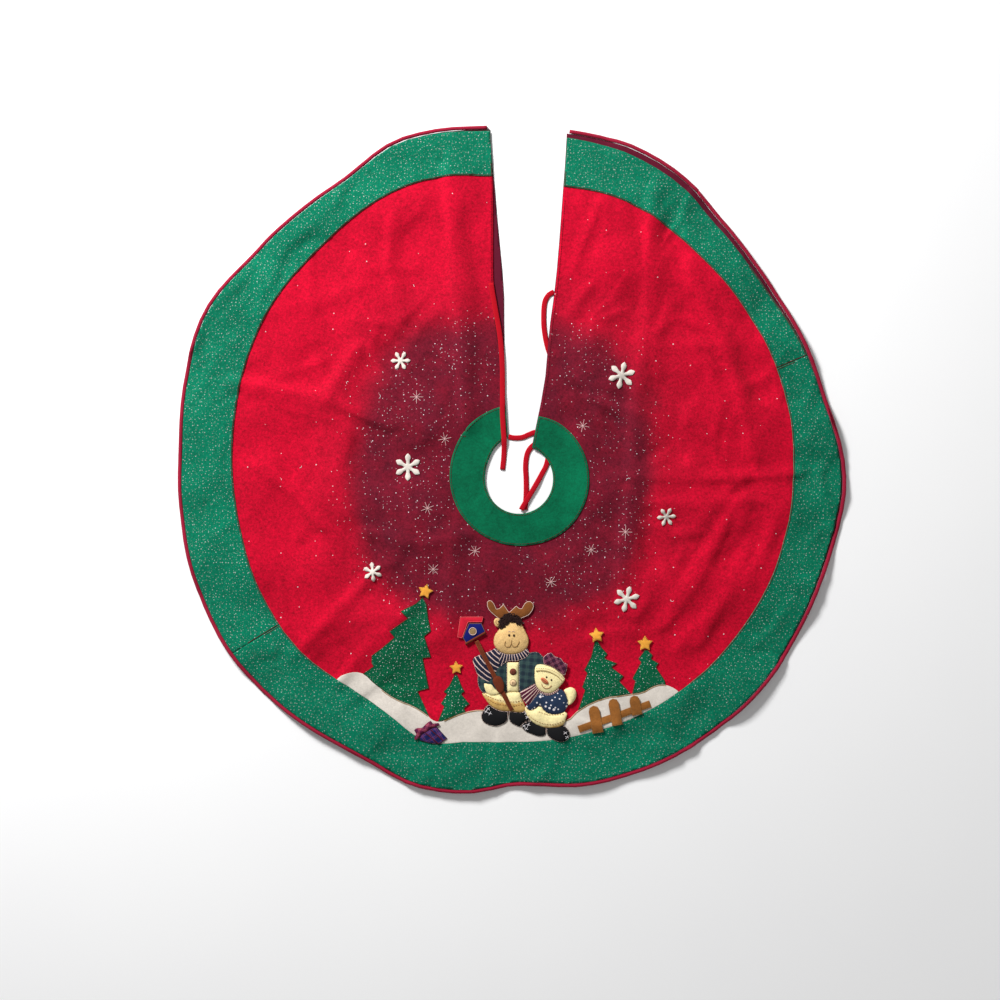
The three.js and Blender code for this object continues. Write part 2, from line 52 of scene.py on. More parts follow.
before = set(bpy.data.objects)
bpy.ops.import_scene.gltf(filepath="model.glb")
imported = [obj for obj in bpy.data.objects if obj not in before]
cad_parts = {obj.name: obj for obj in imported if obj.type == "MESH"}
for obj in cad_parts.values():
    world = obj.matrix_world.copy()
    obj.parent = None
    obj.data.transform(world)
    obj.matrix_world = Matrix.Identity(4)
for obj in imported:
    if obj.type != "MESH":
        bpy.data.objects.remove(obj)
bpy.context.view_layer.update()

MM = 0.001
TRUNK = np.array((0.0124422, -0.034292))  # middle of the trunk hole in the row frame
AXIS_POINT = Vector((0.07144, -0.01429, 0.012))  # on the fold line of the right side of the slit
FOLD_ALONG = np.array((math.cos(math.radians(62)), math.sin(math.radians(62))))
TO_FLAP = np.array((-FOLD_ALONG[1], FOLD_ALONG[0]))
CURL = 0.06  # width of cloth that bends when the side of the slit folds over
BEND_STRIPS = 24
SCENE_FOOT = -0.480  # border seam under the snow scene, measured from the middle of the hole


def linear(red, green, blue):
    """A colour given as 0-255 display values, as linear values."""
    return tuple(
        v / 12.92 if v <= 0.04045 else ((v + 0.055) / 1.055) ** 2.4
        for v in (red / 255, green / 255, blue / 255)
    )


# ---------------------------------------------------------------- sizes and colours
def colour(name, description, *display):
    return FloatVectorProperty(
        name=name, description=description, default=linear(*display), subtype="COLOR", min=0, max=1
    )


class SkirtSizes(bpy.types.PropertyGroup):
    sheet_cell: FloatProperty(
        name="Sheet cell", description="Spacing of the mesh on the big sheets", default=0.0056, unit="LENGTH"
    )
    patch_cell: FloatProperty(
        name="Patch cell", description="Spacing of the mesh on the felt patches", default=0.0028, unit="LENGTH"
    )
    fold_height: FloatProperty(
        name="Fold height", description="How strongly the storage folds stand up", default=1.5, subtype="FACTOR"
    )
    roll: FloatProperty(
        name="Roll", description="How strongly the broad waves of the cloth show", default=1.2, subtype="FACTOR"
    )
    crumple: FloatProperty(
        name="Crumple", description="How strongly the small creases show", default=1.25, subtype="FACTOR"
    )
    crease_count: IntProperty(name="Creases", description="Number of small creases", default=280, min=0)
    padding: FloatProperty(
        name="Padding", description="How plump the padded figures are", default=1.0, subtype="FACTOR"
    )
    thread: FloatProperty(
        name="Thread", description="Thickness of the embroidery thread", default=0.0011, unit="LENGTH"
    )
    glitter_cell: FloatProperty(
        name="Glitter spacing", description="Distance between glitter specks on green felt", default=0.0062,
        unit="LENGTH",
    )
    key_light: FloatProperty(name="Key light", description="Power of the large soft light", default=205, unit="POWER")
    camera_height: FloatProperty(
        name="Camera height", description="Height of the camera over the cloth", default=2.53, unit="LENGTH"
    )


class SkirtColours(bpy.types.PropertyGroup):
    red: colour("Red felt", "Main panel", 184, 3, 38)
    shade: colour("Airbrushed shade", "Dark red around the collar", 95, 18, 36)
    border: colour("Border green", "Glitter felt of the border", 0, 106, 78)
    collar: colour("Collar green", "Plain felt round the trunk hole", 0, 95, 63)
    tree: colour("Tree green", "Glitter felt of the trees", 0, 96, 62)
    lining: colour("Lining", "Cotton lining under the panel", 92, 18, 40)
    piping: colour("Piping", "Folded binding along the hem", 150, 26, 52)
    tie: colour("Ties", "Fabric ties", 176, 8, 28)
    snow: colour("Snow", "Snow bank and snowflakes", 206, 198, 188)
    cream: colour("Cream fleece", "Shirt, hems and the snowman", 240, 224, 166)
    tan: colour("Tan fleece", "Moose head", 214, 176, 118)
    suede: colour("Antler suede", "Antlers", 122, 72, 34)
    wood: colour("Pole brown", "Pole and mitten", 104, 46, 26)
    fence: colour("Fence tan", "Fence boards", 140, 88, 40)
    yarn: colour("Hair yarn", "Moose hair", 40, 24, 22)
    boot: colour("Boot black", "Boots", 22, 22, 24)
    navy: colour("Scarf navy", "Moose scarf", 34, 34, 54)
    coat: colour("Coat teal", "Moose coat", 44, 64, 68)
    sweater: colour("Sweater blue", "Snowman sweater", 36, 50, 74)
    birdhouse: colour("Birdhouse blue", "Birdhouse front", 18, 26, 100)
    roof: colour("Roof red", "Birdhouse roof", 204, 32, 54)
    star: colour("Star yellow", "Stars on the trees", 230, 160, 60)
    gift: colour("Gift blue", "Wrapped box", 34, 44, 104)
    maroon: colour("Maroon", "Bow, hat and snowman scarf", 112, 30, 58)
    pale: colour("Pale thread", "Edge stitches and stripes", 214, 186, 174)
    gold: colour("Gold thread", "Edge stitches on the green felt", 150, 116, 60)
    silver: colour("Silver thread", "Embroidered stars and glitter", 226, 220, 222)


def sizes():
    return bpy.context.scene.skirt_sizes


def colours():
    return bpy.context.scene.skirt_colours


# ---------------------------------------------------------------- how the cloth lies
# Storage folds and creases: height, width of the left and of the right slope, and the line they
# follow, all in millimetres from the middle of the hole. Left and right are seen along the line.
FOLDS = (
    (7.5, 30, 10, ((-131, 560), (-118, 400), (-107, 251), (-98, 100))),
    (4.0, 26, 12, ((-118, -96), (-128, -180), (-128, -262))),
    (6.5, 26, 12, ((242, 520), (236, 400), (233, 278), (216, 180), (206, 106), (206, -4), (184, -177))),
    (6.0, 12, 22, ((-520, 176), (-440, 162), (-353, 142), (-298, 233))),
    (4.5, 20, 9, ((-353, 142), (-300, 118), (-235, 92))),
    (6.0, 22, 9, ((306, 380), (330, 330), (366, 260), (400, 150), (424, 40))),
    (4.0, 14, 8, ((184, 2), (300, -4), (420, 0), (510, 8))),
    (3.6, 9, 16, ((238, -44), (330, -46), (420, -38))),
    (4.5, 10, 20, ((372, -96), (330, -180), (268, -268))),
    (4.0, 10, 18, ((420, -130), (370, -220), (330, -300))),
    (4.5, 16, 10, ((-250, -160), (-330, -240), (-410, -320))),
    (3.4, 14, 9, ((-190, -230), (-270, -300), (-330, -372))),
    (4.2, 16, 9, ((146, 500), (120, 440), (92, 380))),
    (3.6, 14, 8, ((128, 350), (104, 320), (84, 296))),
    (4.0, 20, 10, ((-230, 470), (-240, 380), (-210, 290))),
    (3.6, 16, 10, ((-330, 340), (-280, 260), (-240, 170))),
    (3.6, 12, 9, ((130, 150), (180, 120), (240, 60))),
    (3.2, 12, 9, ((120, -80), (190, -130), (250, -190))),
    (3.4, 16, 10, ((-480, 20), (-420, -20), (-360, -90))),
    (3.6, 14, 9, ((300, 120), (350, 60), (384, -20))),
    (3.4, 16, 9, ((-90, -100), (-180, -120), (-280, -96))),
    (8.0, 13, 40, ((-330, 505), (-430, 415), (-452, 350))),
    (7.0, 12, 26, ((-500, 360), (-570, 300), (-590, 240))),
    (5.0, 30, 12, ((470, -60), (430, -160), (372, -230), (300, -290))),
    (4.5, 24, 10, ((400, -40), (350, -120), (286, -214))),
)
HIGHEST = 14.5  # no fold stands higher than this, in millimetres
# Waves of the hem: angle, height in millimetres and half width in degrees.
HEM_WAVES = (
    (8, 7, 5), (20, 6, 6), (44, 5, 7), (-22, 5, 8), (-42, 6, 7), (-62, 5, 6), (-80, 6, 7), (-104, 7, 9),
    (-128, 6, 8), (-152, 5, 8), (-170, 6, 6), (172, 5, 6), (158, 6, 5), (146, 5, 6), (130, 6, 8), (112, 5, 6),
)


def from_trunk(points):
    """Row-frame points in metres, as millimetres from the middle of the hole."""
    return (np.asarray(points, float).reshape(-1, 2) - TRUNK) / MM


def past_fold(points):
    """How far places lie beyond the fold line, in metres."""
    return (np.asarray(points, float).reshape(-1, 2) - np.array(AXIS_POINT[:2])) @ TO_FLAP


def on_flap(points):
    """Which places are on the side of the slit that folds over."""
    place = from_trunk(points)
    return (past_fold(points) > 0) & (place[:, 0] > 0) & (place[:, 1] > 0)


def off_line(points, line):
    """Distance of each point from a line of several stretches, below zero on its right side."""
    best = np.full(len(points), 1e9)
    side = np.ones(len(points))
    for a, b in zip(line, line[1:]):
        a, b = np.array(a, float), np.array(b, float)
        along = b - a
        t = np.clip((points - a) @ along / (along @ along), 0, 1)
        gap = points - (a + t[:, None] * along)
        distance = np.hypot(gap[:, 0], gap[:, 1])
        cross = along[0] * (points[:, 1] - a[1]) - along[1] * (points[:, 0] - a[0])
        nearer = distance < best
        best = np.where(nearer, distance, best)
        side = np.where(nearer, np.sign(cross), side)
    return best, side


def smoothstep(low, high, value):
    t = np.clip((value - low) / (high - low), 0, 1)
    return t * t * (3 - 2 * t)


@functools.lru_cache(maxsize=1)
def random_creases():
    """Small creases all over the panel and border, the same each time."""
    rng = np.random.default_rng(18)
    made = []
    for _ in range(sizes().crease_count):
        angle, reach = rng.uniform(0, 2 * math.pi), 610 * math.sqrt(rng.uniform(0.05, 1))
        middle = np.array((math.cos(angle), math.sin(angle))) * reach
        turn = rng.normal(angle + math.pi / 2 * rng.integers(0, 2), 0.6)
        half = np.array((math.cos(turn), math.sin(turn))) * rng.uniform(18, 62)
        bend = np.array((-half[1], half[0])) * rng.uniform(-0.3, 0.3)
        rise = rng.uniform(0.7, 2.2) * (1.3 if middle[0] > 40 else 0.9)
        made.append((rise, rng.uniform(4, 8), rng.uniform(9, 18), (middle - half, middle + bend, middle + half)))
    return made


@functools.lru_cache(maxsize=1)
def rolling_waves():
    """Broad soft waves of the cloth: direction, number per millimetre, phase and height."""
    rng = np.random.default_rng(4)
    made = []
    for _ in range(16):
        turn, length = rng.uniform(0, math.pi), rng.uniform(60, 210)
        made.append((math.cos(turn), math.sin(turn), 2 * math.pi / length, rng.uniform(0, 2 * math.pi), length / 130))
    return made


def lie(points):
    """Height of the cloth's lie at row-frame points in metres: folds, creases, hem waves and flap."""
    where = from_trunk(points)
    x, y = where[:, 0], where[:, 1]
    reach = np.hypot(x, y)
    angle = np.degrees(np.arctan2(y, x))
    rise = np.zeros(len(where))
    for height, left, right, line in FOLDS:
        distance, side = off_line(where, line)
        width = np.where(side > 0, left, right) * 0.85
        rise += sizes().fold_height * height * np.exp(-((distance / width) ** 2))
    for height, left, right, line in random_creases():
        line_middle = np.array(line[1])
        near = np.hypot(x - line_middle[0], y - line_middle[1]) < 110
        if near.any():
            distance, side = off_line(where[near], line)
            width = np.where(side > 0, left, right)
            rise[near] += sizes().crumple * height * np.exp(-((distance / width) ** 2))
    roll = np.zeros(len(where))
    for along_x, along_y, per_mm, phase, height in rolling_waves():
        roll += height * np.sin((x * along_x + y * along_y) * per_mm + phase)
    rise += sizes().roll * np.maximum(3.0 + roll * 0.95, 0.0)
    for at, height, width in HEM_WAVES:
        off = (angle - at + 180) % 360 - 180
        rise += height * np.exp(-((off / width) ** 2)) * smoothstep(430, 640, reach)
    # The cloth lies flat round the hole, along the slit and under the figures.
    rise *= np.maximum(smoothstep(66, 150, reach), 0.4 * smoothstep(0, 60, -y))
    slit = np.where(y > 0, np.minimum(np.abs(x + 30 + 0.03 * y), np.abs(x - 30 - 0.1 * y)), 1e3)
    slit = np.where((y > 0) & (x > -30 - 0.03 * y) & (x < 30 + 0.1 * y), 0, slit)
    rise *= 0.08 + 0.92 * smoothstep(10, 70, slit)
    figures = np.hypot((x + 2) / 130, (y + 335) / 150)
    rise *= 0.18 + 0.82 * smoothstep(0.75, 1.25, figures)
    rise = HIGHEST * np.tanh(rise / HIGHEST)
    flap = 3.0 * smoothstep(0, CURL, past_fold(points)) * on_flap(points)
    return (rise + flap) * MM


def lie_at(x, y):
    return float(lie(np.array(((x, y),)))[0])


# ---------------------------------------------------------------- mesh helpers
def new_object(name, bm, material, body="root", replaced=(), smooth=True):
    mesh = bpy.data.meshes.new(name)
    bm.to_mesh(mesh)
    bm.free()
    obj = bpy.data.objects.new(name, mesh)
    bpy.context.scene.collection.objects.link(obj)
    for each in material if isinstance(material, (list, tuple)) else (material,):
        mesh.materials.append(each)
    if smooth:
        mesh.shade_smooth()
    if body:
        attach(obj, body)
    if replaced:
        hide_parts(*replaced)
    return obj


def blend_at_fold(obj):
    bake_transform(obj)


def top_of(*names):
    """The top faces of CAD nodes as one flat outline each, welded where two nodes meet."""
    bm = bmesh.new()
    for name in names:
        bm.from_mesh(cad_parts[name].data)
    bmesh.ops.remove_doubles(bm, verts=bm.verts[:], dist=1e-6)
    bm.normal_update()
    bmesh.ops.delete(bm, geom=[f for f in bm.faces if f.normal.z < 0.9], context="FACES")
    for v in bm.verts:
        v.co.z = 0
    bmesh.ops.remove_doubles(bm, verts=bm.verts[:], dist=0.0007)
    bmesh.ops.dissolve_limit(bm, angle_limit=0.002, verts=bm.verts[:], edges=bm.edges[:])
    bm.normal_update()
    bmesh.ops.reverse_faces(bm, faces=[f for f in bm.faces if f.normal.z < 0])
    return bm


def slice_grid(bm, cell):
    """Cuts flat faces into a square grid, strip by strip. Sheets of one cell size share their grid."""
    for axis in (0, 1):
        ahead = bm.faces[:]
        low = min(v.co[axis] for v in bm.verts)
        high = max(v.co[axis] for v in bm.verts)
        normal = Vector((1, 0, 0)) if axis == 0 else Vector((0, 1, 0))
        for i in range(math.ceil(low / cell), math.ceil(high / cell)):
            at = i * cell
            edges = {e for f in ahead for e in f.edges}
            verts = {v for f in ahead for v in f.verts}
            cut = bmesh.ops.bisect_plane(
                bm, geom=list(verts) + list(edges) + ahead, dist=1e-7, plane_co=normal * at, plane_no=normal
            )
            ahead = [
                f
                for f in cut["geom"]
                if isinstance(f, bmesh.types.BMFace) and f.is_valid and f.calc_center_median()[axis] > at
            ]


def slice_bend(bm):
    """Cuts a mesh along the fold line and into narrow strips where it bends."""
    for i in range(BEND_STRIPS + 1):
        at = AXIS_POINT + Vector((*(TO_FLAP * CURL * i / BEND_STRIPS), 0))
        upper = [f for f in bm.faces if (from_trunk(f.calc_center_median()[:2]) > 0).all()]
        edges = {e for f in upper for e in f.edges}
        verts = {v for f in upper for v in f.verts}
        bmesh.ops.bisect_plane(
            bm, geom=[*verts, *edges, *upper], dist=1e-6, plane_co=at, plane_no=Vector((*TO_FLAP, 0))
        )


def cut_at_fold(bm):
    """The part of a flat mesh that stays, and the part on the side of the slit that folds over, shaded as one where
    they meet.
    """
    slice_bend(bm)
    parts = []
    for folding in (False, True):
        part = bm.copy()
        folds = on_flap([f.calc_center_median()[:2] for f in part.faces])
        others = [f for f, flap in zip(part.faces, folds) if flap != folding]
        bmesh.ops.delete(part, geom=others, context="FACES")
        for edge in part.edges:
            ends = np.array([v.co[:2] for v in edge.verts])
            if edge.is_boundary and np.abs(past_fold(ends)).max() < 1e-5:
                edge.smooth = False
        parts.append(part)
    bm.free()
    return parts


def flat_area(bm):
    return sum(f.calc_area() for f in bm.faces)


def cut_size(bm):
    """Width and length of the smallest rectangle, turned as needed, that the outline fits in."""
    points = np.array([v.co[:2] for v in bm.verts])
    best = None
    for degrees in range(0, 90, 2):
        c, s = math.cos(math.radians(degrees)), math.sin(math.radians(degrees))
        turned = points @ np.array(((c, -s), (s, c)))
        size = turned.max(axis=0) - turned.min(axis=0)
        if best is None or size.prod() < best[0] * best[1]:
            best = (float(size[0]), float(size[1]))
    return best


def outline_runs(bm):
    """Closed outlines of the flat faces, as lists of points in order with the piece on their left."""
    runs = []
    start = {e: None for e in bm.edges if e.is_boundary}
    follow = {}
    for edge in start:
        loop = edge.link_loops[0]
        follow[loop.vert] = loop.link_loop_next.vert
    while follow:
        first, here = next(iter(follow.items()))
        run = [first]
        del follow[first]
        while here is not first and here in follow:
            run.append(here)
            here = follow.pop(here)
        runs.append(np.array([v.co[:2] for v in run]))
    return runs


def inset_run(run, distance, closed=True):
    """Moves an outline inwards."""
    ahead, behind = np.roll(run, -1, axis=0), np.roll(run, 1, axis=0)
    along = ahead - behind
    if not closed:
        along[0], along[-1] = run[1] - run[0], run[-1] - run[-2]
    along /= np.maximum(np.hypot(along[:, 0], along[:, 1])[:, None], 1e-9)
    return run + distance * np.stack((-along[:, 1], along[:, 0]), axis=1)


def respace(run, step, closed=True):
    """The same line with its points a step apart."""
    points = np.vstack((run, run[:1])) if closed else np.asarray(run, float)
    lengths = np.hypot(*np.diff(points, axis=0).T)
    travelled = np.concatenate(([0], np.cumsum(lengths)))
    count = max(int(round(travelled[-1] / step)), 2)
    at = np.linspace(0, travelled[-1], count + (0 if closed else 1), endpoint=not closed)
    return np.stack([np.interp(at, travelled, points[:, k]) for k in range(points.shape[1])], axis=1)


# ---------------------------------------------------------------- threads
class Threads:
    """Collects runs of thread and turns them into one mesh."""

    def __init__(self, name, radius, sides=1):
        self.curve = bpy.data.curves.new(name, "CURVE")
        self.curve.dimensions = "3D"
        self.curve.bevel_depth = radius
        self.curve.bevel_resolution = sides
        self.curve.use_fill_caps = True
        self.curve.twist_mode = "Z_UP"

    def run(self, points, closed=False):
        spline = self.curve.splines.new("POLY")
        spline.points.add(len(points) - 1)
        spline.points.foreach_set("co", [c for p in points for c in (*p, 1)])
        spline.use_cyclic_u = closed

    def level(self, points, height):
        """Height of places above the floor. height is above the cloth's lie: a number or a function."""
        return lie(points) + (height(points) if callable(height) else height)

    def lay(self, points, height, closed=False):
        """A run over the cloth through places given as x and y."""
        points = np.asarray(points, float)
        self.run(np.column_stack((points, self.level(points, height))), closed)

    def dashes(self, points, height, stitch, gap, closed=True):
        """Running stitches along a line."""
        spaced = respace(points, stitch + gap, closed)
        ahead = np.roll(spaced, -1, axis=0) if closed else np.vstack((spaced[1:], spaced[-1:]))
        share = stitch / (stitch + gap)
        z_from, z_to = self.level(spaced, height), self.level(ahead, height)
        count = len(spaced) if closed else len(spaced) - 1
        for i in range(count):
            a = np.array((*spaced[i], z_from[i]))
            b = np.array((*ahead[i], z_to[i]))
            self.run([a, a + (b - a) * share])

    def finish(self, material, body="root"):
        name = self.curve.name
        loose = bpy.data.objects.new(name + "_run", self.curve)
        bpy.context.scene.collection.objects.link(loose)
        mesh = bpy.data.meshes.new_from_object(loose.evaluated_get(bpy.context.evaluated_depsgraph_get()))
        bpy.data.objects.remove(loose)
        bpy.data.curves.remove(self.curve)
        mesh.name = name
        mesh.materials.clear()
        mesh.materials.append(material)
        mesh.shade_smooth()
        obj = bpy.data.objects.new(name, mesh)
        bpy.context.scene.collection.objects.link(obj)
        if body:
            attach(obj, body)
        return obj


def trunk_xy(points):
    """Millimetres from the middle of the hole, as row-frame metres."""
    return np.asarray(points, float) * MM + TRUNK


# ---------------------------------------------------------------- node helpers
class Web:
    """A few short ways to add nodes to a tree."""

    def __init__(self, tree):
        self.tree = tree
        self.nodes = tree.nodes

    def node(self, kind, inputs=None, **settings):
        made = self.nodes.new(kind)
        for key, value in settings.items():
            setattr(made, key, value)
        for key, value in (inputs or {}).items():
            socket = made.inputs[key]
            if isinstance(value, bpy.types.NodeSocket):
                self.tree.links.new(value, socket)
            else:
                socket.default_value = value
        return made

    def math(self, operation, a, b=0.0, c=None, clamp=False):
        inputs = {0: a, 1: b}
        if c is not None:
            inputs[2] = c
        return self.node("ShaderNodeMath", inputs, operation=operation, use_clamp=clamp).outputs[0]

    def mix(self, factor, a, b, blend="MIX"):
        made = self.node("ShaderNodeMix", data_type="RGBA", blend_type=blend, clamp_factor=True)
        for index, value in ((0, factor), (6, a), (7, b)):
            if isinstance(value, bpy.types.NodeSocket):
                self.tree.links.new(value, made.inputs[index])
            elif index == 0:
                made.inputs[index].default_value = value
            else:
                made.inputs[index].default_value = (*value[:3], 1)
        return made.outputs[2]

    def noise(self, vector, scale, detail=2.0, rough=0.5, distortion=0.0):
        return self.node(
            "ShaderNodeTexNoise",
            {"Vector": vector, "Scale": scale, "Detail": detail, "Roughness": rough, "Distortion": distortion},
        ).outputs["Fac"]

    def ramp(self, value, low, high):
        """0 at low and 1 at high, smooth between."""
        return self.node(
            "ShaderNodeMapRange",
            {"Value": value, "From Min": low, "From Max": high, "To Min": 0.0, "To Max": 1.0},
            interpolation_type="SMOOTHSTEP",
        ).outputs[0]


def node_group(name, inputs, outputs):
    """An empty shader group with its sockets: (name, kind, default) and (name, kind)."""
    tree = bpy.data.node_groups.new(name, "ShaderNodeTree")
    for socket_name, kind, default in inputs:
        socket = tree.interface.new_socket(socket_name, in_out="INPUT", socket_type="NodeSocket" + kind)
        if default is not None:
            socket.default_value = default
    for socket_name, kind in outputs:
        tree.interface.new_socket(socket_name, in_out="OUTPUT", socket_type="NodeSocket" + kind)
    web = Web(tree)
    return web, web.node("NodeGroupInput").outputs, web.node("NodeGroupOutput")


def send(web, output, **values):
    for key, socket in values.items():
        web.tree.links.new(socket, output.inputs[key.replace("_", " ")])


def make_groups():
    # Felt: matted fibres, soft blotches and tiny pills.
    web, given, out = node_group(
        "Felt Fibre",
        [("Vector", "Vector", None), ("Colour", "Color", (0.5, 0.5, 0.5, 1)), ("Mottle", "Float", 0.3),
         ("Fibre", "Float", 0.5)],
        [("Colour", "Color"), ("Height", "Float"), ("Roughness", "Float")],
    )
    blotch = web.noise(given["Vector"], 11, 3, 0.55)
    patch = web.noise(given["Vector"], 55, 3, 0.6)
    fibre = web.noise(given["Vector"], 480, 4, 0.7, 1.4)
    pill = web.noise(given["Vector"], 230, 3, 0.6, 0.6)
    soft = web.math("ADD", web.math("MULTIPLY", blotch, 0.55), web.math("MULTIPLY", patch, 0.45))
    shade = web.math("MULTIPLY_ADD", web.math("SUBTRACT", soft, 0.5), given["Mottle"], 1.0)
    fine = web.math("ADD", web.math("MULTIPLY", fibre, 0.4), web.math("MULTIPLY", pill, 0.6))
    shade = web.math("ADD", shade, web.math("MULTIPLY", web.math("SUBTRACT", fine, 0.5), given["Fibre"]))
    tinted = web.node("ShaderNodeHueSaturation", {"Value": shade, "Color": given["Colour"]}).outputs[0]
    height = web.math("ADD", web.math("MULTIPLY", fibre, 0.5), web.math("MULTIPLY", pill, 0.5))
    rough = web.math("MULTIPLY_ADD", fine, 0.12, 0.84, clamp=True)
    send(web, out, Colour=tinted, Height=height, Roughness=rough)

    # Glitter: round specks at random, only on a share of the cells.
    web, given, out = node_group(
        "Glitter Specks",
        [("Vector", "Vector", None), ("Spacing", "Float", 0.007), ("Speck", "Float", 0.16),
         ("Share", "Float", 0.8)],
        [("Mask", "Float"), ("Sparkle", "Float")],
    )
    per_metre = web.math("DIVIDE", 1.0, given["Spacing"])
    cells = web.node(
        "ShaderNodeTexVoronoi", {"Vector": given["Vector"], "Scale": per_metre, "Randomness": 0.85},
        voronoi_dimensions="2D", feature="F1",
    )
    chance = web.node("ShaderNodeSeparateColor", {0: cells.outputs["Color"]})
    size = web.math("MULTIPLY", given["Speck"], web.math("MULTIPLY_ADD", chance.outputs[1], 0.9, 0.55))
    inside = web.math("LESS_THAN", cells.outputs["Distance"], size)
    chosen = web.math("LESS_THAN", chance.outputs[0], given["Share"])
    send(
        web, out, Mask=web.math("MULTIPLY", inside, chosen),
        Sparkle=web.math("MULTIPLY_ADD", chance.outputs[2], 0.6, 0.4),
    )

    # Plaid: broad bands and thin lines both ways.
    web, given, out = node_group(
        "Plaid",
        [("Vector", "Vector", None), ("Ground", "Color", None), ("Band", "Color", None), ("Line", "Color", None),
         ("Repeat", "Float", 0.02)],
        [("Colour", "Color")],
    )
    place = web.node("ShaderNodeSeparateXYZ", {0: given["Vector"]})
    shade = given["Ground"]
    lines = []
    for axis in (0, 1):
        at = web.math("FRACT", web.math("DIVIDE", place.outputs[axis], given["Repeat"]))
        band = web.math("MULTIPLY", web.math("LESS_THAN", at, 0.4), 0.55)
        shade = web.mix(band, shade, given["Band"])
        for where in (0.6, 0.8):
            off = web.math("ABSOLUTE", web.math("SUBTRACT", at, where))
            lines.append(web.math("MULTIPLY", web.math("LESS_THAN", off, 0.035), 0.6))
    for line in lines:
        shade = web.mix(line, shade, given["Line"])
    send(web, out, Colour=shade)

    # Stripes that fan out from a point.
    web, given, out = node_group(
        "Fan Stripes",
        [("Vector", "Vector", None), ("Ground", "Color", None), ("Line", "Color", None), ("Count", "Float", 40.0),
         ("Width", "Float", 0.3), ("Tail From", "Float", -1.0), ("Tail Spacing", "Float", 0.0075)],
        [("Colour", "Color")],
    )
    place = web.node("ShaderNodeSeparateXYZ", {0: given["Vector"]})
    turn = web.math("ARCTAN2", place.outputs[1], place.outputs[0])
    wobble = web.math("MULTIPLY", web.noise(given["Vector"], 90, 2), 0.06)
    fan = web.math("MULTIPLY", web.math("ADD", turn, wobble), given["Count"])
    away = web.node("ShaderNodeVectorMath", {0: given["Vector"]}, operation="LENGTH").outputs["Value"]
    ring = web.math("DIVIDE", web.math("ADD", away, web.math("MULTIPLY", wobble, 0.04)), given["Tail Spacing"])
    in_tail = web.math("LESS_THAN", place.outputs[0], given["Tail From"])
    kept = web.math("MULTIPLY", fan, web.math("SUBTRACT", 1.0, in_tail))
    at = web.math("FRACT", web.math("ADD", kept, web.math("MULTIPLY", ring, in_tail)))
    send(web, out, Colour=web.mix(web.math("LESS_THAN", at, given["Width"]), given["Ground"], given["Line"]))

    # Plain cotton weave.
    web, given, out = node_group(
        "Cotton Weave",
        [("Vector", "Vector", None), ("Colour", "Color", None), ("Thread", "Float", 0.0011)],
        [("Colour", "Color"), ("Height", "Float")],
    )
    place = web.node("ShaderNodeSeparateXYZ", {0: given["Vector"]})
    waves = []
    for axis in (0, 1):
        phase = web.math("MULTIPLY", web.math("DIVIDE", place.outputs[axis], given["Thread"]), math.pi)
        waves.append(web.math("ABSOLUTE", web.math("SINE", phase)))
    height = web.math("MULTIPLY", waves[0], waves[1])
    slub = web.noise(given["Vector"], 140, 3, 0.6)
    value = web.math("ADD", web.math("MULTIPLY_ADD", height, 0.22, 0.8), web.math("MULTIPLY", slub, 0.16))
    tinted = web.node("ShaderNodeHueSaturation", {"Value": value, "Color": given["Colour"]}).outputs[0]
    send(web, out, Colour=tinted, Height=height)


FINISHES = {}


class Finish:
    """A cloth material under construction: its web, its place vector and its shader."""

    def __init__(self, name, roughness=0.9, sheen=0.06, centre=None, turn=0.0):
        self.material = bpy.data.materials.new(name)
        FINISHES[name] = self.material
        self.material.use_nodes = True
        self.web = Web(self.material.node_tree)
        self.shader = self.web.nodes["Principled BSDF"]
        self.shader.inputs["Roughness"].default_value = roughness
        self.shader.inputs["Specular IOR Level"].default_value = 0.1
        self.shader.inputs["Sheen Weight"].default_value = sheen
        self.shader.inputs["Sheen Roughness"].default_value = 0.45
        self.place = self.web.node("ShaderNodeTexCoord").outputs["Object"]
        if centre is not None:
            self.place = self.web.node(
                "ShaderNodeMapping",
                {"Location": (-centre[0], -centre[1], 0), "Rotation": (0, 0, 0)},
            ).outputs[0]
            self.web.tree.links.new(
                self.web.nodes["Texture Coordinate"].outputs["Object"], self.web.nodes["Mapping"].inputs[0]
            )
            if turn:
                turned = self.web.node("ShaderNodeMapping", {"Vector": self.place, "Rotation": (0, 0, turn)})
                self.place = turned.outputs[0]
        self.height = None

    def use(self, group, **inputs):
        node = self.web.node("ShaderNodeGroup", node_tree=bpy.data.node_groups[group])
        for key, value in {"Vector": self.place, **inputs}.items():
            socket = node.inputs[key]
            if isinstance(value, bpy.types.NodeSocket):
                self.web.tree.links.new(value, socket)
            else:
                socket.default_value = (*value[:3], 1) if hasattr(value, "__len__") else value
        return node.outputs

    def done(self, colour_socket, height=None, roughness=None, depth=0.5, distance=0.0012):
        links = self.web.tree.links
        links.new(colour_socket, self.shader.inputs["Base Color"])
        if roughness is not None:
            links.new(roughness, self.shader.inputs["Roughness"])
        if height is not None:
            bump = self.web.node("ShaderNodeBump", {"Strength": depth, "Distance": distance, "Height": height})
            links.new(bump.outputs[0], self.shader.inputs["Normal"])
        return self.material


def felt(name, shade, mottle=0.16, fibre=0.3, depth=0.5):
    finish = Finish(name)
    cloth = finish.use("Felt Fibre", Colour=shade, Mottle=mottle, Fibre=fibre)
    return finish.done(cloth["Colour"], cloth["Height"], cloth["Roughness"], depth)


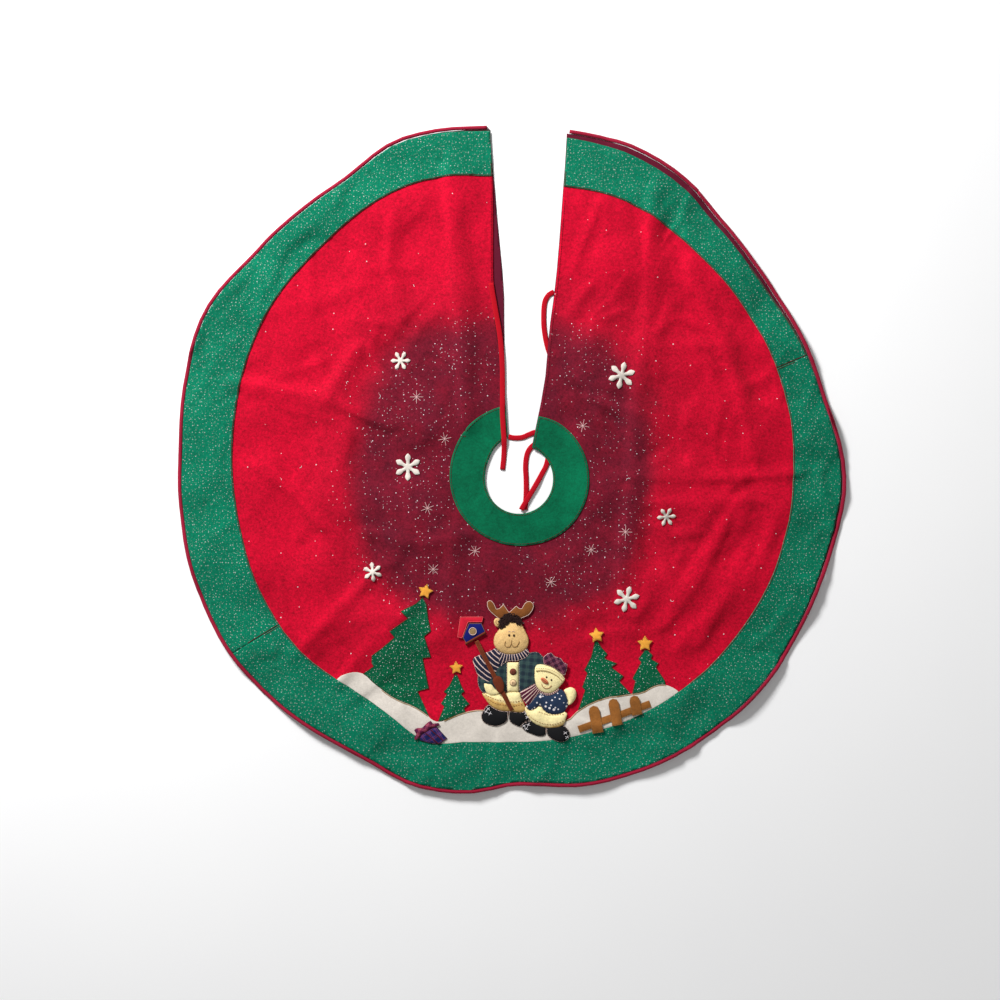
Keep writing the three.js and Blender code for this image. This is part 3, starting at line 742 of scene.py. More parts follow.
def glitter_felt(name, shade, spacing, speck, share, bright, fibre=1.9):
    """Felt with two sizes of glitter specks."""
    finish = Finish(name, roughness=0.7)
    web = finish.web
    cloth = finish.use("Felt Fibre", Colour=shade, Mottle=0.8, Fibre=fibre)
    coarse = finish.use("Glitter Specks", Spacing=spacing, Speck=speck, Share=share)
    fine = finish.use("Glitter Specks", Spacing=spacing * 0.56, Speck=speck * 1.1, Share=share * 0.5)
    pale = web.mix(bright, (*shade, 1), (*colours().silver, 1))
    dim = web.mix(bright * 0.4, (*shade, 1), (*colours().silver, 1))
    tint = web.mix(web.math("MULTIPLY", fine["Mask"], fine["Sparkle"]), cloth["Colour"], dim)
    tint = web.mix(web.math("MULTIPLY", coarse["Mask"], coarse["Sparkle"]), tint, pale)
    rough = web.math("SUBTRACT", cloth["Roughness"], web.math("MULTIPLY", coarse["Mask"], 0.45))
    height = web.math("ADD", cloth["Height"], web.math("MULTIPLY", coarse["Mask"], 0.6))
    return finish.done(tint, height, rough)


def red_panel_felt():
    """Red felt with the dark airbrushed ring, silver specks in it and a little pale lint."""
    finish = Finish("red_panel_felt", centre=TRUNK)
    web, tones = finish.web, colours()
    place = web.node("ShaderNodeSeparateXYZ", {0: finish.place})
    warp = web.math("SUBTRACT", web.noise(finish.place, 5.5, 3, 0.6), 0.5)
    fray = web.math("SUBTRACT", web.noise(finish.place, 26, 4, 0.65), 0.5)
    x = web.math("DIVIDE", web.math("ADD", place.outputs[0], 0.026), 0.29)
    y = web.math("DIVIDE", web.math("SUBTRACT", place.outputs[1], 0.012), 0.292)
    square = web.math("ADD", web.math("POWER", web.math("ABSOLUTE", x), 2.5),
                      web.math("POWER", web.math("ABSOLUTE", y), 2.5))
    reach = web.math("POWER", square, 0.4)
    reach = web.math("ADD", reach, web.math("MULTIPLY", warp, 0.3))
    reach = web.math("ADD", reach, web.math("MULTIPLY", fray, 0.16))
    core = web.math("SUBTRACT", 1.0, web.ramp(reach, 0.84, 1.04))
    halo = web.math("SUBTRACT", 1.0, web.ramp(reach, 0.75, 1.4))
    sprayed = web.math("ADD", web.math("MULTIPLY", core, 0.66), web.math("MULTIPLY", halo, 0.34))
    density = web.math("MULTIPLY_ADD", fray, 0.5, 0.92, clamp=True)
    tint = web.mix(web.math("MULTIPLY", sprayed, density), (*tones.red, 1), (*tones.shade, 1))
    cloth = finish.use("Felt Fibre", Colour=tint, Mottle=0.85, Fibre=2.7)
    near = web.math("SUBTRACT", 1.0, web.ramp(reach, 0.8, 1.16))
    drift = web.ramp(web.noise(finish.place, 13, 2, 0.5), 0.38, 0.62)
    share = web.math("MULTIPLY", near, web.math("MULTIPLY_ADD", drift, 0.42, 0.13))
    specks = finish.use("Glitter Specks", Spacing=0.0118, Speck=0.06, Share=share)
    dust = finish.use("Glitter Specks", Spacing=0.0075, Speck=0.085, Share=web.math("MULTIPLY", share, 0.7))
    stray = finish.use("Glitter Specks", Spacing=0.031, Speck=0.026, Share=0.2)
    shine = (*tones.silver, 1)
    shade = web.mix(web.math("MULTIPLY", web.math("MULTIPLY", dust["Mask"], dust["Sparkle"]), 0.5),
                    cloth["Colour"], shine)
    shade = web.mix(web.math("MULTIPLY", specks["Mask"], specks["Sparkle"]), shade, shine)
    shade = web.mix(web.math("MULTIPLY", stray["Mask"], 0.7), shade, shine)
    rough = web.math("SUBTRACT", cloth["Roughness"], web.math("MULTIPLY", specks["Mask"], 0.4))
    return finish.done(shade, cloth["Height"], rough, 0.6)


def cotton(name, shade, thread=0.0011):
    finish = Finish(name, roughness=0.85, sheen=0.04)
    cloth = finish.use("Cotton Weave", Colour=shade, Thread=thread)
    return finish.done(cloth["Colour"], cloth["Height"], depth=0.4, distance=0.0006)


def hem_fleece(name, trim_from, bow):
    """Cream fleece whose lower trim is golden; the trim's upper edge is bowed."""
    finish = Finish(name, centre=trim_from)
    web = finish.web
    place = web.node("ShaderNodeSeparateXYZ", {0: finish.place})
    curve = web.math("MULTIPLY", web.math("MULTIPLY", place.outputs[0], place.outputs[0]), bow)
    ragged = web.math("MULTIPLY", web.math("SUBTRACT", web.noise(finish.place, 120, 3), 0.5), 0.012)
    above = web.math("SUBTRACT", web.math("ADD", place.outputs[1], ragged), curve)
    tint = web.mix(web.ramp(above, -0.004, 0.003), (*linear(208, 168, 98), 1), (*colours().cream, 1))
    cloth = finish.use("Felt Fibre", Colour=tint, Mottle=0.8, Fibre=0.9)
    return finish.done(cloth["Colour"], cloth["Height"], cloth["Roughness"], 0.9)


def plaid(name, ground, band, line, repeat, centre, turn):
    finish = Finish(name, centre=centre, turn=turn)
    check = finish.use("Plaid", Ground=ground, Band=band, Line=line, Repeat=repeat)
    cloth = finish.use("Felt Fibre", Colour=check["Colour"], Mottle=0.25, Fibre=0.3)
    return finish.done(cloth["Colour"], cloth["Height"], cloth["Roughness"])


def striped(name, ground, line, count, width, centre, tail_from=-1.0):
    finish = Finish(name, centre=centre)
    bands = finish.use("Fan Stripes", Ground=ground, Line=line, Count=count, Width=width, **{"Tail From": tail_from})
    cloth = finish.use("Felt Fibre", Colour=bands["Colour"], Mottle=0.2, Fibre=0.25)
    return finish.done(cloth["Colour"], cloth["Height"], cloth["Roughness"])


def make_materials():
    tone = colours()
    make_groups()
    red_panel_felt()
    spacing = sizes().glitter_cell
    glitter_felt("border_felt", tone.border, spacing, 0.115, 0.9, 0.52)
    glitter_felt("tree_felt", [part * 0.8 for part in tone.tree], spacing, 0.11, 0.85, 0.8)
    # Collar felt: strong blotches and fibre. This is partly the felt's own uneven tone and partly painted shade that
    # stands in for the shade of the collar's creases.
    felt("collar_felt", tone.collar, 1.5, 1.7)
    felt("snow_felt", tone.snow, 0.4, 0.7)
    felt("star_felt", tone.star, 0.8, 0.7)
    felt("antler_felt", tone.suede, 1.0, 1.2)
    felt("fence_felt", tone.fence, 1.2, 1.2)
    felt("wood_felt", tone.wood, 0.6, 0.5)
    felt("boot_felt", tone.boot, 0.3, 0.4)
    felt("roof_felt", tone.roof, 0.8, 0.8)
    felt("birdhouse_felt", tone.birdhouse, 0.3, 0.3)
    felt("head_fleece", tone.tan, 1.5, 1.2, 0.8)
    felt("cream_fleece", tone.cream, 0.7, 0.8, 0.9)
    felt("hair_yarn", tone.yarn, 0.6, 0.6, 1.0)
    felt("nose_felt", linear(196, 112, 78), 0.6, 0.6)
    felt("button_brown", linear(112, 58, 44), 0.4, 0.2, 0.2)
    felt("button_cream", linear(222, 190, 146), 0.4, 0.2, 0.2)
    felt("hole_felt", linear(150, 122, 84), 1.2, 1.2)
    felt("eye_thread", linear(52, 34, 26), 0.2, 0.2)
    felt("pale_thread", tone.pale, 0.2, 0.3)
    felt("gold_thread", tone.gold, 0.3, 0.3)
    felt("pink_thread", linear(222, 92, 96), 0.3, 0.3)
    felt("leaf_thread", linear(66, 58, 26), 0.3, 0.3)
    felt("star_thread", linear(206, 164, 164), 0.3, 0.3)
    felt("silver_thread", tone.silver, 0.2, 0.2)
    felt("red_thread", linear(84, 12, 22), 0.2, 0.3)
    felt("brown_thread", linear(142, 104, 60), 0.2, 0.3)
    felt("rim_thread", linear(92, 52, 36), 0.3, 0.3)
    felt("smile_thread", linear(150, 92, 52), 0.2, 0.3)
    cotton("lining_cotton", tone.lining)
    cotton("piping_cotton", tone.piping, 0.0009)
    cotton("tie_cotton", tone.tie, 0.0009)
    head = trunk_xy((-15, -290))
    snow_head = trunk_xy((52, -362))
    striped("moose_scarf_stripe", tone.navy, tone.pale, 7.4, 0.22, head, -0.021)
    striped("snowman_scarf_stripe", linear(78, 24, 46), tone.pale, 8.4, 0.26, snow_head)
    plaid("coat_plaid", tone.coat, linear(26, 34, 46), linear(64, 84, 76), 0.013, head, 0.1)
    plaid("gift_plaid", tone.gift, linear(22, 22, 66), linear(132, 56, 84), 0.014, trunk_xy((-155, -466)), -0.55)
    plaid("bow_plaid", tone.maroon, linear(70, 24, 60), linear(176, 92, 110), 0.011, trunk_xy((-165, -455)), 0.3)
    plaid("hat_plaid", linear(92, 28, 46), linear(40, 26, 50), linear(150, 100, 122), 0.0105, snow_head, -0.45)
    hem_fleece("moose_hem_fleece", trunk_xy((-12, -408)), 6.0)
    hem_fleece("snowman_hem_fleece", trunk_xy((50, -451)), 9.0)
    finish = Finish("sweater_knit", centre=snow_head, turn=0.5)
    web = finish.web
    cloth = finish.use("Felt Fibre", Colour=tone.sweater, Mottle=0.4, Fibre=0.4)
    dots = finish.use("Glitter Specks", Spacing=0.0088, Speck=0.19, Share=0.8)
    shade = web.mix(web.math("MULTIPLY", dots["Mask"], 0.95), cloth["Colour"], (*tone.silver, 1))
    finish.done(shade, web.math("ADD", cloth["Height"], dots["Mask"]), cloth["Roughness"])
    floor = Finish("floor_paint", roughness=0.7, sheen=0.0)
    haze = floor.web.noise(floor.place, 3, 2)
    floor.done(floor.web.mix(haze, (0.93, 0.93, 0.93, 1), (0.9, 0.9, 0.905, 1)))


def material(name):
    return FINISHES[name]


# ---------------------------------------------------------------- felt pieces
def conform(mesh, lift=None):
    """Lays a mesh over the cloth's folds: each point rises by the lie under it, and by lift if given."""
    co = np.empty(len(mesh.vertices) * 3)
    mesh.vertices.foreach_get("co", co)
    co = co.reshape(-1, 3)
    co[:, 2] += lie(co[:, :2])
    if lift:
        co[:, 2] += lift(co[:, :2])
    mesh.vertices.foreach_set("co", co.ravel())
    mesh.update()


def gridded(nodes, cell):
    bm = top_of(*nodes)
    slice_grid(bm, cell)
    return bm


def cloth_sheet(name, bm, nodes, material_name, base, flat=None, body="root"):
    """A flat sheet in place of CAD nodes, laid over the folds, as high and thick as the base node."""
    area = flat_area(bm)
    size = flat or cut_size(bm)
    low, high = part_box(base)
    for v in bm.verts:
        v.co.z = high[2]
    obj = new_object(name, bm, material(material_name), body, nodes)
    conform(obj.data)
    if body is None:
        blend_at_fold(obj)
    thick = obj.modifiers.new("thickness", "SOLIDIFY")
    thick.thickness = high[2] - low[2]
    thick.offset = -1
    return obj


def folding_sheet(name, nodes, material_name, cell):
    """A sheet in two pieces that meet along the fold line: one for the side that stays and one for the side of the
    slit that folds over.
    """
    still, folding = cut_at_fold(gridded(nodes, cell))
    made = cloth_sheet(name, still, nodes[:1], material_name, nodes[0])
    cloth_sheet(name + "_fold", folding, nodes[1:], material_name, nodes[0], body=None)
    return made


def swell(bm, tall):
    """Blows up a flat grid of cloth that is held along its outline, to a given height."""
    scene = bpy.context.scene
    mesh = bpy.data.meshes.new("blown")
    bm.to_mesh(mesh)
    rim = [v.index for v in bm.verts if v.is_boundary]
    points = np.array([v.co for v in bm.verts])
    edge = points[rim]
    gap = np.min(np.hypot(points[:, None, 0] - edge[None, :, 0], points[:, None, 1] - edge[None, :, 1]), axis=1)
    middle = max(gap.max(), 1e-5)
    dome = np.sqrt(np.clip(1 - (1 - np.clip(gap / (0.75 * middle), 0, 1)) ** 2, 0, 1))
    obj = bpy.data.objects.new("blown", mesh)
    scene.collection.objects.link(obj)
    held = obj.vertex_groups.new(name="held")
    held.add(rim, 1.0, "REPLACE")
    cloth = obj.modifiers.new("cloth", "CLOTH")
    cloth.settings.quality = 4
    cloth.settings.mass = 0.2
    cloth.settings.tension_stiffness = 12
    cloth.settings.compression_stiffness = 12
    cloth.settings.shear_stiffness = 6
    cloth.settings.bending_stiffness = 0.4
    cloth.settings.effector_weights.gravity = 0
    cloth.settings.use_pressure = True
    cloth.settings.uniform_pressure_force = 6
    cloth.settings.vertex_group_mass = "held"
    cloth.collision_settings.use_collision = False
    cloth.point_cache.frame_start, cloth.point_cache.frame_end = 1, 18
    for step in range(1, 19):
        scene.frame_set(step)
    blown = obj.evaluated_get(bpy.context.evaluated_depsgraph_get()).to_mesh()
    rise = np.array([v.co.z for v in blown.vertices]) - points[:, 2]
    obj.evaluated_get(bpy.context.evaluated_depsgraph_get()).to_mesh_clear()
    bpy.data.objects.remove(obj)
    bpy.data.meshes.remove(mesh)
    scene.frame_set(1)
    top = np.quantile(np.abs(rise), 0.97)
    if not np.isfinite(top) or top < 1e-5:
        return dome * tall
    rise = np.clip(np.abs(rise) / top, 0, 1.1)
    return tall * (0.55 * rise + 0.45 * dome)


def over_scarf(points):
    """How far the pole and the mitten are carried up by the padded scarf and coat under them."""
    y = from_trunk(points)[:, 1]
    return 0.0027 * smoothstep(-425, -392, y) * (1 - smoothstep(-314, -300, y))


def patch(name, node, material_name, slot, tall=0.0, cell=None, wrinkle=0.0, declare="sheet", lift=None):
    """One felt piece of the snow scene: closed, rounded at its edge and puffed by its padding."""
    low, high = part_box(node)
    bm = top_of(node)
    size, measured = cut_size(bm), flat_area(bm)
    runs = outline_runs(bm)
    slice_grid(bm, cell or sizes().patch_cell)
    bmesh.ops.triangulate(bm, faces=[f for f in bm.faces if len(f.verts) > 4])
    bm.verts.index_update()
    for v in bm.verts:
        v.co.z = 0
    rise = swell(bm, tall * sizes().padding) if tall else np.zeros(len(bm.verts))
    if wrinkle:
        where = np.array([v.co[:2] for v in bm.verts])
        edge = np.clip(rise / max(rise.max(), 1e-6), 0, 1)
        ripple = np.sin(where[:, 0] * 420 + 2 * np.sin(where[:, 1] * 160)) * np.sin(where[:, 1] * 190 + 1.7)
        rise = rise + wrinkle * ripple * edge
    thickness = high[2] - low[2]
    faces = bm.faces[:]
    flat_verts = bm.verts[:]
    raised = bmesh.ops.extrude_face_region(bm, geom=faces, use_keep_orig=True)
    lifted = [e for e in raised["geom"] if isinstance(e, bmesh.types.BMVert)]
    by_place = {(round(v.co.x, 7), round(v.co.y, 7)): i for i, v in enumerate(flat_verts)}
    for v in lifted:
        v.co.z = high[2] + rise[by_place[(round(v.co.x, 7), round(v.co.y, 7))]]
    for v in flat_verts:
        v.co.z = low[2]
    bmesh.ops.recalc_face_normals(bm, faces=bm.faces[:])
    obj = new_object(name, bm, material(material_name), "root", (node,))
    conform(obj.data, lift)
    soft = obj.modifiers.new("soft_edge", "BEVEL")
    soft.width = min(0.0006, thickness * 0.4)
    soft.segments = 2
    soft.limit_method = "ANGLE"
    soft.angle_limit = math.radians(50)
    soft.harden_normals = False
    return obj, runs, high[2]


def height_over(obj):
    """A function that tells how high a finished piece stands at a place, above the cloth's lie."""
    mesh = obj.data
    co = np.array([v.co for v in mesh.vertices])
    level = co[:, 2] - lie(co[:, :2])

    def at(points):
        points = np.asarray(points, float).reshape(-1, 2)
        near = np.hypot(points[:, None, 0] - co[None, :, 0], points[:, None, 1] - co[None, :, 1])
        close = near < 0.0042
        return np.where(close.any(axis=1), np.where(close, level[None, :], -1).max(axis=1), level.max())

    return at


def edge_threads(name, made, material_name, inset=0.0009, radius=None, solid=False, lift=None):
    """Stitches just inside the outline of a felt piece."""
    obj, runs, top = made
    threads = Threads(name, radius or sizes().thread * 0.5)
    for run in runs:
        line = inset_run(respace(run, 0.0022), inset)
        height = (lambda at: top + 0.0003 + lift(at)) if lift else top + 0.0003
        if solid:
            threads.lay(line, height, closed=True)
        else:
            threads.dashes(line, height, 0.0032, 0.0014)
    return threads.finish(material(material_name))


def stitch_rows(name, obj, rows, material_name, radius):
    """Rows of running stitches over a padded piece; each row is given in millimetres from the hole."""
    over = height_over(obj)
    threads = Threads(name, radius)
    for row in rows:
        threads.dashes(curve_through(trunk_xy(row), 6), lambda at: over(at) + 0.0001, 0.0024, 0.0024, closed=False)
    threads.finish(material(material_name))


def bead(name, x, y, width, length, tall, over, material_name, turn=0.0, rings=3):
    """A small rounded piece such as a button or an eye: a disc drawn up in a few steps."""
    bm = bmesh.new()
    width, length = width * MM, length * MM
    disc = bmesh.ops.create_circle(bm, cap_ends=True, cap_tris=False, segments=20, radius=1.0)
    bmesh.ops.scale(bm, vec=(width / 2, length / 2, 1), verts=disc["verts"])
    bm.faces.ensure_lookup_table()
    face = bm.faces[0]
    lifted = bmesh.ops.extrude_face_region(bm, geom=[face], use_keep_orig=True)
    top = [e for e in lifted["geom"] if isinstance(e, bmesh.types.BMFace)][0]
    bmesh.ops.translate(bm, vec=(0, 0, tall * 0.45), verts=top.verts[:])
    for i in range(rings):
        share = (i + 1) / (rings + 1)
        bmesh.ops.inset_region(bm, faces=[top], thickness=min(width, length) / 2 * 0.24, depth=0)
        bmesh.ops.translate(bm, vec=(0, 0, tall * 0.55 * (1 - share) / 1.5), verts=top.verts[:])
    bmesh.ops.recalc_face_normals(bm, faces=bm.faces[:])
    bmesh.ops.rotate(bm, matrix=Matrix.Rotation(turn, 3, "Z"), verts=bm.verts[:])
    px, py = trunk_xy((x, y))
    bmesh.ops.translate(bm, vec=(px, py, over + lie_at(px, py)), verts=bm.verts[:])
    obj = new_object(name, bm, material(material_name))
    return obj


# ---------------------------------------------------------------- operators
class SKIRT_OT_camera(bpy.types.Operator):
    """Makes the camera that looks straight down on the skirt"""

    bl_idname = "skirt.camera"
    bl_label = "Camera"

    def execute(self, context):
        data = bpy.data.cameras.new("camera")
        data.lens = 50
        data.sensor_width = 36
        data.clip_end = 20
        camera = bpy.data.objects.new("camera", data)
        camera.location = (-0.0221, -0.0743, sizes().camera_height)
        context.scene.collection.objects.link(camera)
        context.scene.camera = camera
        return {"FINISHED"}


# Routes of the ties in millimetres from the middle of the hole: x, y, z of their middle line.
ON_FLOOR, ON_PANEL, ON_COLLAR, ON_TIE = 1.3, 3.9, 5.5, 3.8
TIES = {
    "tie_slit_left": (
        "root",
        ((-51, 355, ON_PANEL), (-47, 330, ON_PANEL), (-41, 296, ON_PANEL), (-35, 261, ON_PANEL),
         (-31, 218, ON_PANEL), (-30, 180, ON_PANEL), (-30, 158, ON_PANEL), (-30, 138, ON_COLLAR),
         (-30, 118, ON_COLLAR), (-29, 98, ON_COLLAR), (-28, 82, ON_COLLAR), (-27, 68, ON_COLLAR),
         (-27, 52, ON_FLOOR + 1), (-28, 34, ON_FLOOR), (-30, 15, ON_FLOOR)),
    ),
    "tie_slit_right": (
        "right_flap",
        ((64, 339, ON_FLOOR), (54, 333, ON_FLOOR), (47, 320, ON_FLOOR), (45, 297, ON_FLOOR),
         (46, 270, ON_FLOOR), (51, 242, ON_FLOOR), (58, 222, ON_FLOOR), (69, 204, ON_FLOOR),
         (84, 197, ON_FLOOR), (97, 206, ON_FLOOR), (102, 230, ON_FLOOR), (101, 260, ON_FLOOR),
         (97, 295, ON_FLOOR), (92, 328, ON_FLOOR), (89, 358, ON_FLOOR)),
    ),
    "tie_collar_left": (
        "root",
        ((-19, 75, ON_FLOOR), (-8, 73, ON_FLOOR), (6, 74, ON_FLOOR), (18, 79, ON_FLOOR),
         (30, 83, ON_FLOOR), (38, 76, ON_FLOOR), (34, 65, ON_FLOOR), (23, 57, ON_FLOOR),
         (15, 44, ON_FLOOR), (12, 22, ON_FLOOR), (13, -2, ON_FLOOR), (13, -30, ON_FLOOR),
         (11, -58, ON_FLOOR)),
    ),
    "tie_collar_right": (
        "right_flap",
        ((40, 108, ON_FLOOR), (47, 90, ON_FLOOR), (53, 68, ON_FLOOR), (54, 46, ON_FLOOR),
         (50, 24, ON_FLOOR), (41, 6, ON_FLOOR + 0.8), (31, -12, ON_TIE), (21, -29, ON_TIE),
         (12, -44, ON_TIE), (4, -58, ON_TIE)),
    ),
}


def curve_through(points, per_span):
    """A smooth line through the points, as the CAD draws it."""
    points = np.asarray(points, float)
    before = np.vstack((2 * points[0] - points[1], points, 2 * points[-1] - points[-2]))
    line = []
    for i in range(1, len(before) - 2):
        p0, p1, p2, p3 = before[i - 1], before[i], before[i + 1], before[i + 2]
        for k in range(per_span):
            t = k / per_span
            line.append(
                0.5 * (2 * p1 + (p2 - p0) * t + (2 * p0 - 5 * p1 + 4 * p2 - p3) * t * t
                       + (3 * p1 - p0 - 3 * p2 + p3) * t ** 3)
            )
    line.append(points[-1])
    return np.array(line)


def tie_mesh(line, width, thickness):
    """A flat fabric tube, swept ring by ring along its line."""
    bm = bmesh.new()
    ring = bmesh.ops.create_circle(bm, cap_ends=False, segments=12, radius=1.0)["verts"]
    for v in ring:
        # A folded and stitched strip: full in the middle, thin at the two edges.
        v.co = Vector((v.co.x * width / 2, 0, v.co.y * thickness / 2))
    placed = Matrix.Identity(4)
    edges = bm.edges[:]
    for i, point in enumerate(line):
        ahead = line[min(i + 1, len(line) - 1)] - line[max(i - 1, 0)]
        along = Vector(ahead).normalized()
        across = along.cross(Vector((0, 0, 1))).normalized()
        up = across.cross(along)
        stance = Matrix((
            (across[0], along[0], up[0], point[0]), (across[1], along[1], up[1], point[1]),
            (across[2], along[2], up[2], point[2]), (0, 0, 0, 1),
        ))
        if i:
            made = bmesh.ops.extrude_edge_only(bm, edges=edges)["geom"]
            ring = [e for e in made if isinstance(e, bmesh.types.BMVert)]
            edges = [e for e in made if isinstance(e, bmesh.types.BMEdge)]
        bmesh.ops.transform(bm, matrix=stance @ placed.inverted(), verts=ring)
        placed = stance
    bmesh.ops.holes_fill(bm, edges=[e for e in bm.edges if e.is_boundary], sides=0)
    bmesh.ops.recalc_face_normals(bm, faces=bm.faces[:])
    return bm


class SKIRT_OT_ties(bpy.types.Operator):
    """Makes the four fabric ties at the slit and the collar"""

    bl_idname = "skirt.ties"
    bl_label = "Ties"

    def execute(self, context):
        for name, (body, route) in TIES.items():
            points = np.asarray(route, float) * MM + np.array((*TRUNK, 0))
            line = curve_through(points, 5)
            width = 0.0095
            obj = new_object(
                name + "_cloth", tie_mesh(line, width, 0.0022), material("tie_cotton"), body, (name,)
            )
        return {"FINISHED"}


class SKIRT_OT_sheets(bpy.types.Operator):
    """Makes the lining, the red panel and the collar"""

    bl_idname = "skirt.sheets"
    bl_label = "Sheets"

    def execute(self, context):
        cell = sizes().sheet_cell
        lining = folding_sheet("lining_cloth", ("lining", "lining_flap"), "lining_cotton", cell)
        panel = folding_sheet(
            "panel", ("red_panel", "red_panel_flap"), "red_panel_felt", cell
        )
        folding_sheet("collar_ring", ("collar", "collar_flap"), "collar_felt", cell)
        return {"FINISHED"}


class SKIRT_OT_border(bpy.types.Operator):
    """Makes the three arcs of the glitter border and the piping round the hem"""

    bl_idname = "skirt.border"
    bl_label = "Border and piping"

    def execute(self, context):
        cell = sizes().sheet_cell
        for name, nodes, length, body in (
            ("border_arc_left", ("border_left",), 1.08, "root"),
            ("border_arc_lower", ("border_lower",), 1.42, "root"),
            ("border_arc_right", ("border_right", "border_right_flap"), 0.41, None),
        ):
            bm = gridded(nodes, cell)
            if body is None:
                slice_bend(bm)
            cloth_sheet(
                name, bm, nodes, "border_felt", nodes[0],
                flat=(0.10, length), body=body,
            )
        self.piping("piping_binding", "piping", "root")
        self.piping("piping_binding_fold", "piping_flap", None)
        return {"FINISHED"}

    def piping(self, name, node, body):
        """One length of the binding, cut into short rings, its end drawn up to the fold line."""
        bm = bmesh.new()
        bm.from_mesh(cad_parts[node].data)
        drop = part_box("piping")[0][2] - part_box(node)[0][2]
        bmesh.ops.translate(bm, vec=(0, 0, drop), verts=bm.verts[:])
        bmesh.ops.remove_doubles(bm, verts=bm.verts[:], dist=1e-6)
        bmesh.ops.dissolve_limit(bm, angle_limit=0.003, verts=bm.verts[:], edges=bm.edges[:])
        for f in bm.faces:
            middle = f.calc_center_median()[:2]
            near = abs(past_fold(middle)[0]) < 0.004 and (from_trunk(middle) > 0).all()
            if near and len(f.verts) >= 7 and f.calc_area() < 6e-5:
                for v in f.verts:
                    v.co.xy -= Vector(past_fold(v.co[:2])[0] * TO_FLAP)
        long = [e for e in bm.edges if e.calc_length() > 0.015]
        bmesh.ops.subdivide_edges(bm, edges=long, cuts=4, use_grid_fill=True)
        if body is None:
            slice_bend(bm)
        bmesh.ops.recalc_face_normals(bm, faces=bm.faces[:])
        obj = new_object(name, bm, material("piping_cotton"), body, (node,))
        conform(obj.data)
        if body is None:
            blend_at_fold(obj)


class SKIRT_OT_seams(bpy.types.Operator):
    """Sews the big sheets: the seam of the border, the collar and the slit edges"""

    bl_idname = "skirt.seams"
    bl_label = "Seams"

    def execute(self, context):
        seams = Threads("seam_threads", 0.0005), Threads("seam_threads_fold", 0.0005)
        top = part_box("border_lower")[1][2]
        for nodes in (("border_left",), ("border_lower",), ("border_right", "border_right_flap")):
            bm = top_of(*nodes)
            for run in outline_runs(bm):
                spaced = respace(run, 0.004)
                line = inset_run(spaced, 0.0016)
                reach = np.hypot(*(from_trunk(line).T))
                inner = reach < (reach.min() + reach.max()) / 2
                place = from_trunk(line)
                inner &= ~((place[:, 1] < -340) & (np.abs(place[:, 0] + 15) < 325))
                self.lay_parts(seams, line, inner, top + 0.0002, False)
            bm.free()
        top_stitch = Threads("top_stitches", 0.00045), Threads("top_stitches_fold", 0.00045)
        for nodes, depth in ((("collar", "collar_flap"), 0.003), (("red_panel", "red_panel_flap"), 0.004)):
            bm = top_of(*nodes)
            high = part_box(nodes[0])[1][2]
            for run in outline_runs(bm):
                line = inset_run(respace(run, 0.004), depth)
                keep = np.ones(len(line), bool)
                if nodes[0] == "red_panel":
                    place = from_trunk(line)
                    reach = np.hypot(place[:, 0], place[:, 1])
                    keep = (place[:, 1] > 0) & (np.abs(place[:, 0] - 15) < 90) & (reach > 128) & (reach < 515)
                self.lay_parts(top_stitch, line, keep, high + 0.0002, True)
            bm.free()
        for stays, folds in (seams, top_stitch):
            stays.finish(material("red_thread"))
            blend_at_fold(folds.finish(material("red_thread"), None))
        return {"FINISHED"}

    def lay_parts(self, pair, line, wanted, height, dashed):
        """Lays the wanted stretches of a closed line, parted at the fold line."""
        flap = on_flap(line)
        self.lay_stretches(pair[0], line, wanted & ~flap, height, dashed)
        flap = flap | np.roll(flap, 1) | np.roll(flap, -1)
        self.lay_stretches(pair[1], line, wanted & flap, height, dashed)

    def lay_stretches(self, threads, line, keep, height, dashed):
        if keep.all():
            if dashed:
                threads.dashes(line, height, 0.003, 0.0016)
            else:
                threads.lay(line, height, closed=True)
            return
        first = int(np.argmax(~keep))
        order = np.roll(np.arange(len(line)), -first)
        part = []
        for i in list(order) + [first]:
            if keep[i]:
                part.append(line[i])
            elif len(part) > 3:
                run = np.array(part)
                if dashed:
                    threads.dashes(run, height, 0.003, 0.0016, closed=False)
                else:
                    threads.lay(run, height)
                part = []
            else:
                part = []


